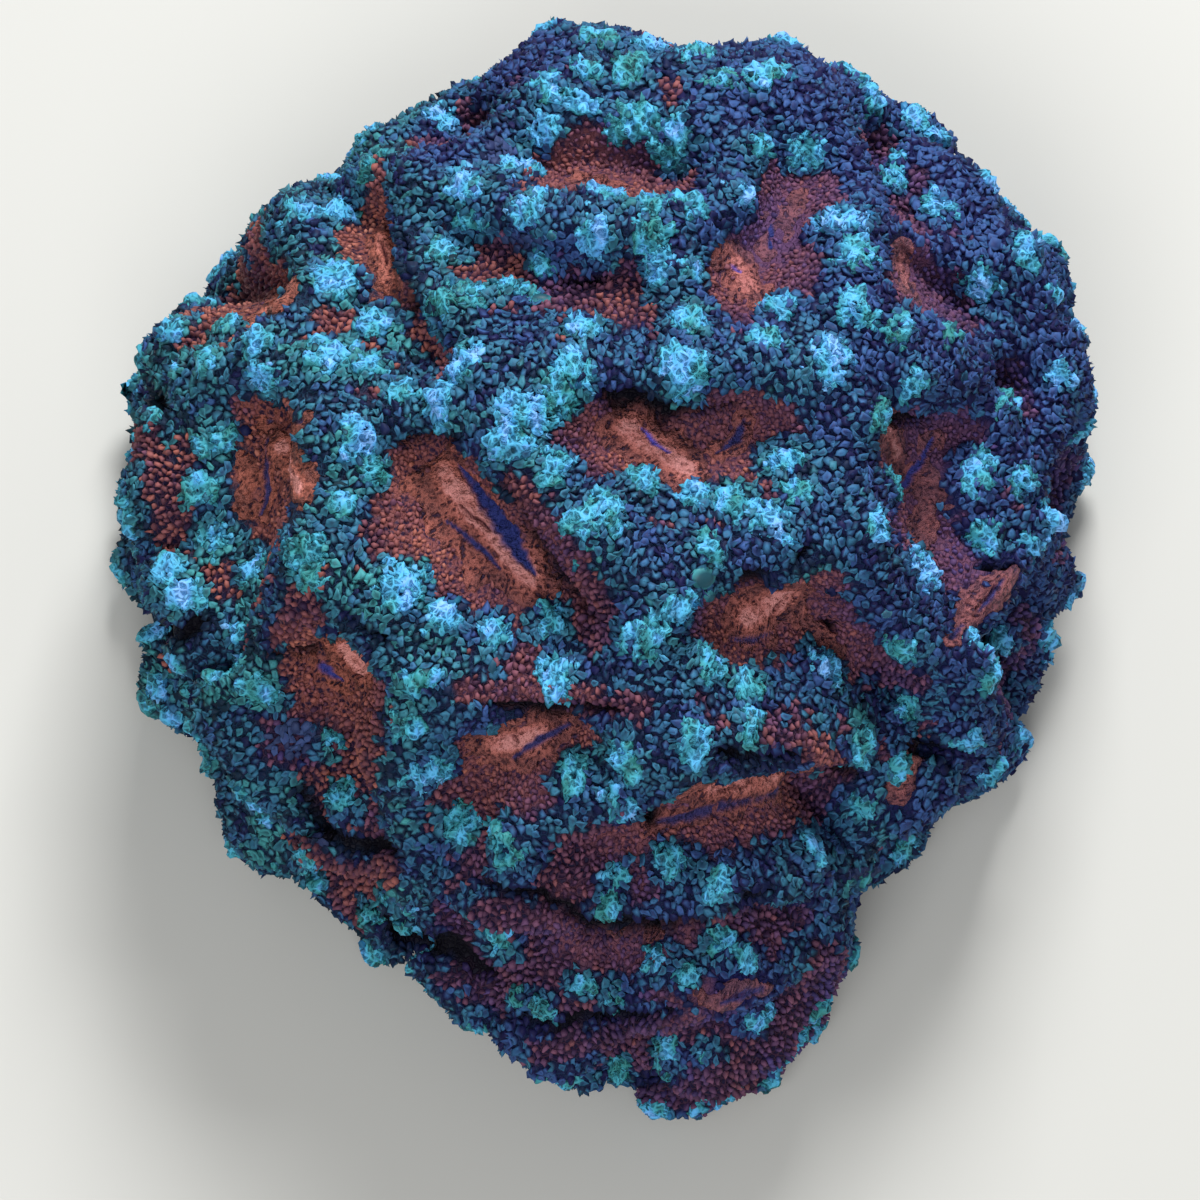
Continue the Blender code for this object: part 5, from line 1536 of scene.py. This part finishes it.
class Papillae:
    """Every papilla outside the tufts: scattered places, kept a papilla's width apart, and what is found there."""

    def __init__(self, skin, mouths):
        draw = np.random.default_rng(SEED)
        spots = scattered(skin, PAPILLAE_TRIED, draw)
        points, cleft = mixed(skin.points, spots), mixed(skin.cleft, spots)
        tuft_distance, _ = tuft_reach(points, skin.tufts)
        in_tuft = tuft_edge(points, tuft_distance) > 0.05
        disc = disc_edge(points, mouths.reach(points))
        share = teal_share(points, mixed(skin.share, spots), mixed(skin.tilt, spots), tuft_distance)
        teal = share > 0.5 + 0.1 * draw.random(len(points))
        hidden = mixed(skin.normals, spots) @ OUT < -0.1
        rust_spacing = RUST_SPACING + SPACING_SPREAD * draw.random(len(points)) + 0.12 * smoothstep(1.5, 5.0, -disc)
        spacing = np.where(teal, TEAL_SPACING + SPACING_SPREAD * draw.random(len(points)), rust_spacing)
        spacing = spacing * np.where(hidden, HIDDEN_SPACING, 1.0)
        starts = -0.7 + 0.7 * drift(points, 2.0, 61)
        above = mixed(skin.to_cut, spots) > BARE_FOOT
        able = np.flatnonzero(above & (disc < starts) & ~in_tuft & (cleft > 1.1))
        kept = able[spread(points[able], spacing[able], draw)]
        spots = tuple(part[kept] for part in spots)
        self.draw = draw
        self.points, self.spacing, self.disc = points[kept], spacing[kept], disc[kept]
        self.teal, self.tuft_distance = teal[kept], tuft_distance[kept]
        # How far each papilla is from a cleft, 0 beside it: its glow is cut there as painted shade.
        self.cleft = smoothstep(1.0, 3.0, cleft[kept])
        self.plum_and_blue_light = plum_and_blue_light(self.points)
        self.normal = unit(mixed(skin.normals, spots))
        self.first, self.second = tangents(self.normal, skin.ways[spots[0], spots[1]], draw, 0.9)
        self.tone = draw.normal(0.0, 1.0, len(kept))
        across, up = self.points @ ACROSS, self.points @ UP
        self.violet = np.zeros(len(kept), bool)
        for a, b, half_across, half_up in VIOLET_PATCHES:
            self.violet |= ((across - a) / half_across) ** 2 + ((up - b) / half_up) ** 2 < 1.0
        self.violet &= self.normal @ OUT > 0.0

    def plant(self, name, form, chosen, look, size, amount, material):
        """The chosen papillae as one piece, or more where they would have over MOST_TRIANGLES.

        look is each one's shade and glow. size is its length, in its spacing, its width, in the same, and its height.
        """
        shape = turned(*form)
        shade, glow = look
        long, wide, tall = size
        parts = math.ceil(len(chosen) * len(shape[-1]) / MOST_TRIANGLES)
        for number, part in enumerate(np.array_split(np.arange(len(chosen)), parts)):
            here = chosen[part]
            stand = self.points[here], self.normal[here], self.first[here], self.second[here]
            spans = self.spacing[here] * long, self.spacing[here] * wide
            lean = PAPILLA_LEAN * (self.draw.random((len(here), 3)) - 0.5)
            uneven = uneven_rim(len(here), form[0], self.draw, amount)
            label = f"{name}_{number + 1}" if parts > 1 else name
            planted(label, shape, stand, spans, tall[part], lean, shade[part], glow[part], material, uneven)


def papillae(skin, mouths):
    """The papillae outside the tufts: rust beads in the valleys, teal cups on the ridges, and violet cups in patches.

    A bead's or cup's colour goes by broad blotches, by chance, and by how purple the flesh is there, which is partly
    painted blue light. It is painted darker in and beside the clefts, painted shade, and a rust bead is painted
    lighter the more it faces towards the top, painted light from above. The beads are flatter near a mouth.
    """
    all_of = Papillae(skin, mouths)
    draw, points, tone, cleft = all_of.draw, all_of.points, all_of.tone, all_of.cleft
    broad = drift(points, 9.0, 25)

    chosen = np.flatnonzero(~all_of.teal & ~all_of.violet)
    near_disc = smoothstep(-4.5, -1.0, all_of.disc[chosen])
    # Painted light and shade from above: a bead facing towards the top is painted lighter, one facing down darker.
    facing_up = (all_of.normal @ UP)[chosen]
    shade = 0.62 + 0.08 * broad[chosen] + 0.07 * tone[chosen] + 0.1 * near_disc + 0.08 * facing_up
    shade = shade - 0.62 * all_of.plum_and_blue_light[chosen]
    glow = 0.76 + 0.24 * draw.normal(size=len(chosen)) + 0.14 * near_disc
    # Painted shade: darker in and beside the clefts.
    glow = glow * (0.45 + 0.55 * cleft[chosen])
    size = 0.68, 0.5, 0.55 - 0.27 * near_disc
    all_of.plant("rust_papillae", BEAD, chosen, (shade, glow), size, RIM_UNEVENNESS, rust_papilla_flesh())

    chosen = np.flatnonzero(all_of.teal & ~all_of.violet)
    places = points[chosen]
    halo = smoothstep(1.7, 1.0, all_of.tuft_distance[chosen])
    shade = 0.62 + 0.10 * broad[chosen] + 0.08 * tone[chosen] + 0.1 * halo - 0.68 * all_of.plum_and_blue_light[chosen]
    # Bluer towards the top: painted blue light.
    shade = shade - 0.06 * smoothstep(20.0, 50.0, places @ UP)
    shade = shade - 0.35 * smoothstep(0.3, 1.2, drift(places, 3.0, 27))
    glow = 0.67 + 0.24 * draw.normal(size=len(chosen)) + 0.12 * halo + 0.12 * drift(places, 2.4, 26)
    # Painted shade: darker in and beside the clefts.
    glow = glow * (0.4 + 0.6 * cleft[chosen])
    size = 0.84, 0.62, 0.3 + 0.45 * draw.random(len(chosen))
    all_of.plant("teal_papillae", CUP, chosen, (shade, glow), size, RIM_UNEVENNESS, teal_papilla_flesh())

    chosen = np.flatnonzero(all_of.violet)
    look = 0.5 + 0.2 * tone[chosen], 0.8 + 0.2 * draw.normal(size=len(chosen))
    size = 1.0, 0.75, np.full(len(chosen), 0.5)
    all_of.plant("violet_papillae", CUP, chosen, look, size, 0.3, violet_papilla_flesh())


def tuft_frills(skin, material):
    """The tufts' small frilled cups: five uneven sides round a sunken middle, leaning outwards at a tuft's edge."""
    draw = np.random.default_rng(SEED + 2)
    spots = scattered(skin, FRILLS_TRIED, draw)
    points = mixed(skin.points, spots)
    reach, which = tuft_reach(points, skin.tufts)
    inside = tuft_edge(points, reach)
    able = np.flatnonzero((inside > 0.08) & (mixed(skin.to_cut, spots) > 1.0))
    spacing = FRILL_SPACING + FRILL_SPACING_SPREAD * draw.random(len(able))
    kept = able[spread(points[able], spacing, draw)]
    points, which, inside = points[kept], which[kept], inside[kept]
    normal = unit(mixed(skin.normals, tuple(part[kept] for part in spots)))
    outward = points - skin.tufts[0][which]
    outward = unit(outward - dot(outward, normal)[:, None] * normal)
    edge = smoothstep(0.35, 0.0, inside)
    first, second = tangents(normal, outward, draw, 1.2)
    count = len(kept)
    size = 0.30 + 0.14 * draw.random(count), 0.22 + 0.12 * draw.random(count)
    tall = 0.4 + 0.4 * draw.random(count)
    lean = (0.1 + 0.15 * edge * draw.random(count))[:, None] * outward + 0.3 * (draw.random((count, 3)) - 0.5)
    tone = tuft_tones(skin.tufts)[which] + 0.14 * draw.normal(size=count) + 0.1 * drift(points, 2.2, 48)
    # Painted shade: frills are dimmer towards a tuft's edge.
    glow = 0.74 + 0.26 * draw.normal(size=count) - 0.1 * edge
    uneven = uneven_rim(count, FRILL[0], draw, 0.25)
    stand = points, normal, first, second
    planted("tuft_frills", turned(*FRILL), stand, size, tall, lean, tone, glow, material, uneven)


def blisters(skin, material):
    """Smooth domes: a quarter circle turned round and stretched, with its foot sunk in the skin."""
    turn = np.linspace(0.0, math.pi / 2, BLISTER_RINGS + 1)[:-1]
    rings = [(math.cos(t), math.sin(t) - BLISTER_ROOT, t / (math.pi / 2)) for t in turn]
    form = turned(BLISTER_SIDES, rings, (1.0 - BLISTER_ROOT, 1.0))
    table = np.array(VESICLES)
    point = skin.on(table[:, :2])
    index = seen_at(skin.points, table[:, :2])
    normal = skin.normals.reshape(-1, 3)[index]
    first = unit(ACROSS - (normal @ ACROSS)[:, None] * normal)
    second = np.cross(normal, first)
    stand = (point + BLISTER_RAISE * normal, normal, first, second)
    size = table[:, 2], table[:, 3]
    still = np.zeros((len(table), 3))
    planted("vesicles", form, stand, size, table[:, 4], still, table[:, 5], np.ones(len(table)), material)


# -------------------------------------------------------------------------------------------------------------------
# The studio
# -------------------------------------------------------------------------------------------------------------------

CAMERA_LENS = 300.0
CAMERA_CLIP = (0.01, 20.0)
FIELD_WIDTH = 0.120
LOOK_AT = (0.0, 0.1)
LOOK_DEPTH = 33.0
FLOOR_HALF = 1.5
LAMP_AIM = (0.0, 0.0, 0.03)
SURROUND_STRENGTH = 0.36

# Each soft box's place, power in watts and side.
SOFTBOXES = {"key_softbox": ((0.10, 0.58, 0.58), 8.0, 0.30), "fill_softbox": ((-0.10, -0.52, 0.70), 4.0, 0.5)}


def camera():
    """A long lens square to the sloping plane, whose field is 120 mm wide at the middle of the colony."""
    lens = bpy.data.cameras.new("camera")
    lens.lens = CAMERA_LENS
    lens.clip_start, lens.clip_end = CAMERA_CLIP
    eye = linked("camera", lens)
    aim = (LOOK_AT[0] * ACROSS + LOOK_AT[1] * UP + LOOK_DEPTH * OUT) * MILLIMETRE
    eye.location = aim + OUT * FIELD_WIDTH * CAMERA_LENS / lens.sensor_width
    eye.rotation_euler = (math.pi / 2 - PLANE_TILT, 0.0, 0.0)
    bpy.context.scene.camera = eye


def softbox(name, place, power, side):
    """A square soft box that faces the colony."""
    light = bpy.data.lights.new(name, "AREA")
    light.energy = power
    light.size = side
    box = linked(name, light)
    box.location = place
    way = np.array(LAMP_AIM) - np.array(place)
    box.rotation_euler = (math.acos(-way[2] / np.linalg.norm(way)), 0.0, math.atan2(way[1], way[0]) - math.pi / 2)


def studio():
    """A pale floor, a large soft box behind and above, a weaker one in front, and an even pale surround."""
    mesh = bpy.data.meshes.new("floor")
    corners = [(x * FLOOR_HALF, y * FLOOR_HALF, 0.0) for x, y in ((-1, -1), (1, -1), (1, 1), (-1, 1))]
    mesh.from_pydata(corners, [], [(0, 1, 2, 3)])
    mesh.materials.append(matte_paper())
    linked("floor", mesh)
    for name, (place, power, side) in SOFTBOXES.items():
        softbox(name, place, power, side)
    world = bpy.data.worlds.new("surround")
    world.use_nodes = True
    background = world.node_tree.nodes["Background"].inputs
    background["Color"].default_value = (1.0, 1.0, 1.0, 1.0)
    background["Strength"].default_value = SURROUND_STRENGTH
    bpy.context.scene.world = world
    bpy.context.scene.view_settings.view_transform = "Standard"


def main():
    """Lays the skin, dresses it piece by piece, and sets the studio."""
    skin = Skin(SKIN_GRID)
    fine = Fine(skin, FINER)
    mouths = Mouths(skin)
    ground(skin, mouths, ground_flesh())
    oral_discs(skin, fine, mouths, oral_disc_flesh())
    tuft_webs(skin, fine, tuft_flesh())
    tuft_frills(skin, frill_flesh())
    papillae(skin, mouths)
    blisters(skin, vesicle_membrane())
    cut_face(skin, cut_skeleton_limestone())
    camera()
    studio()


main()
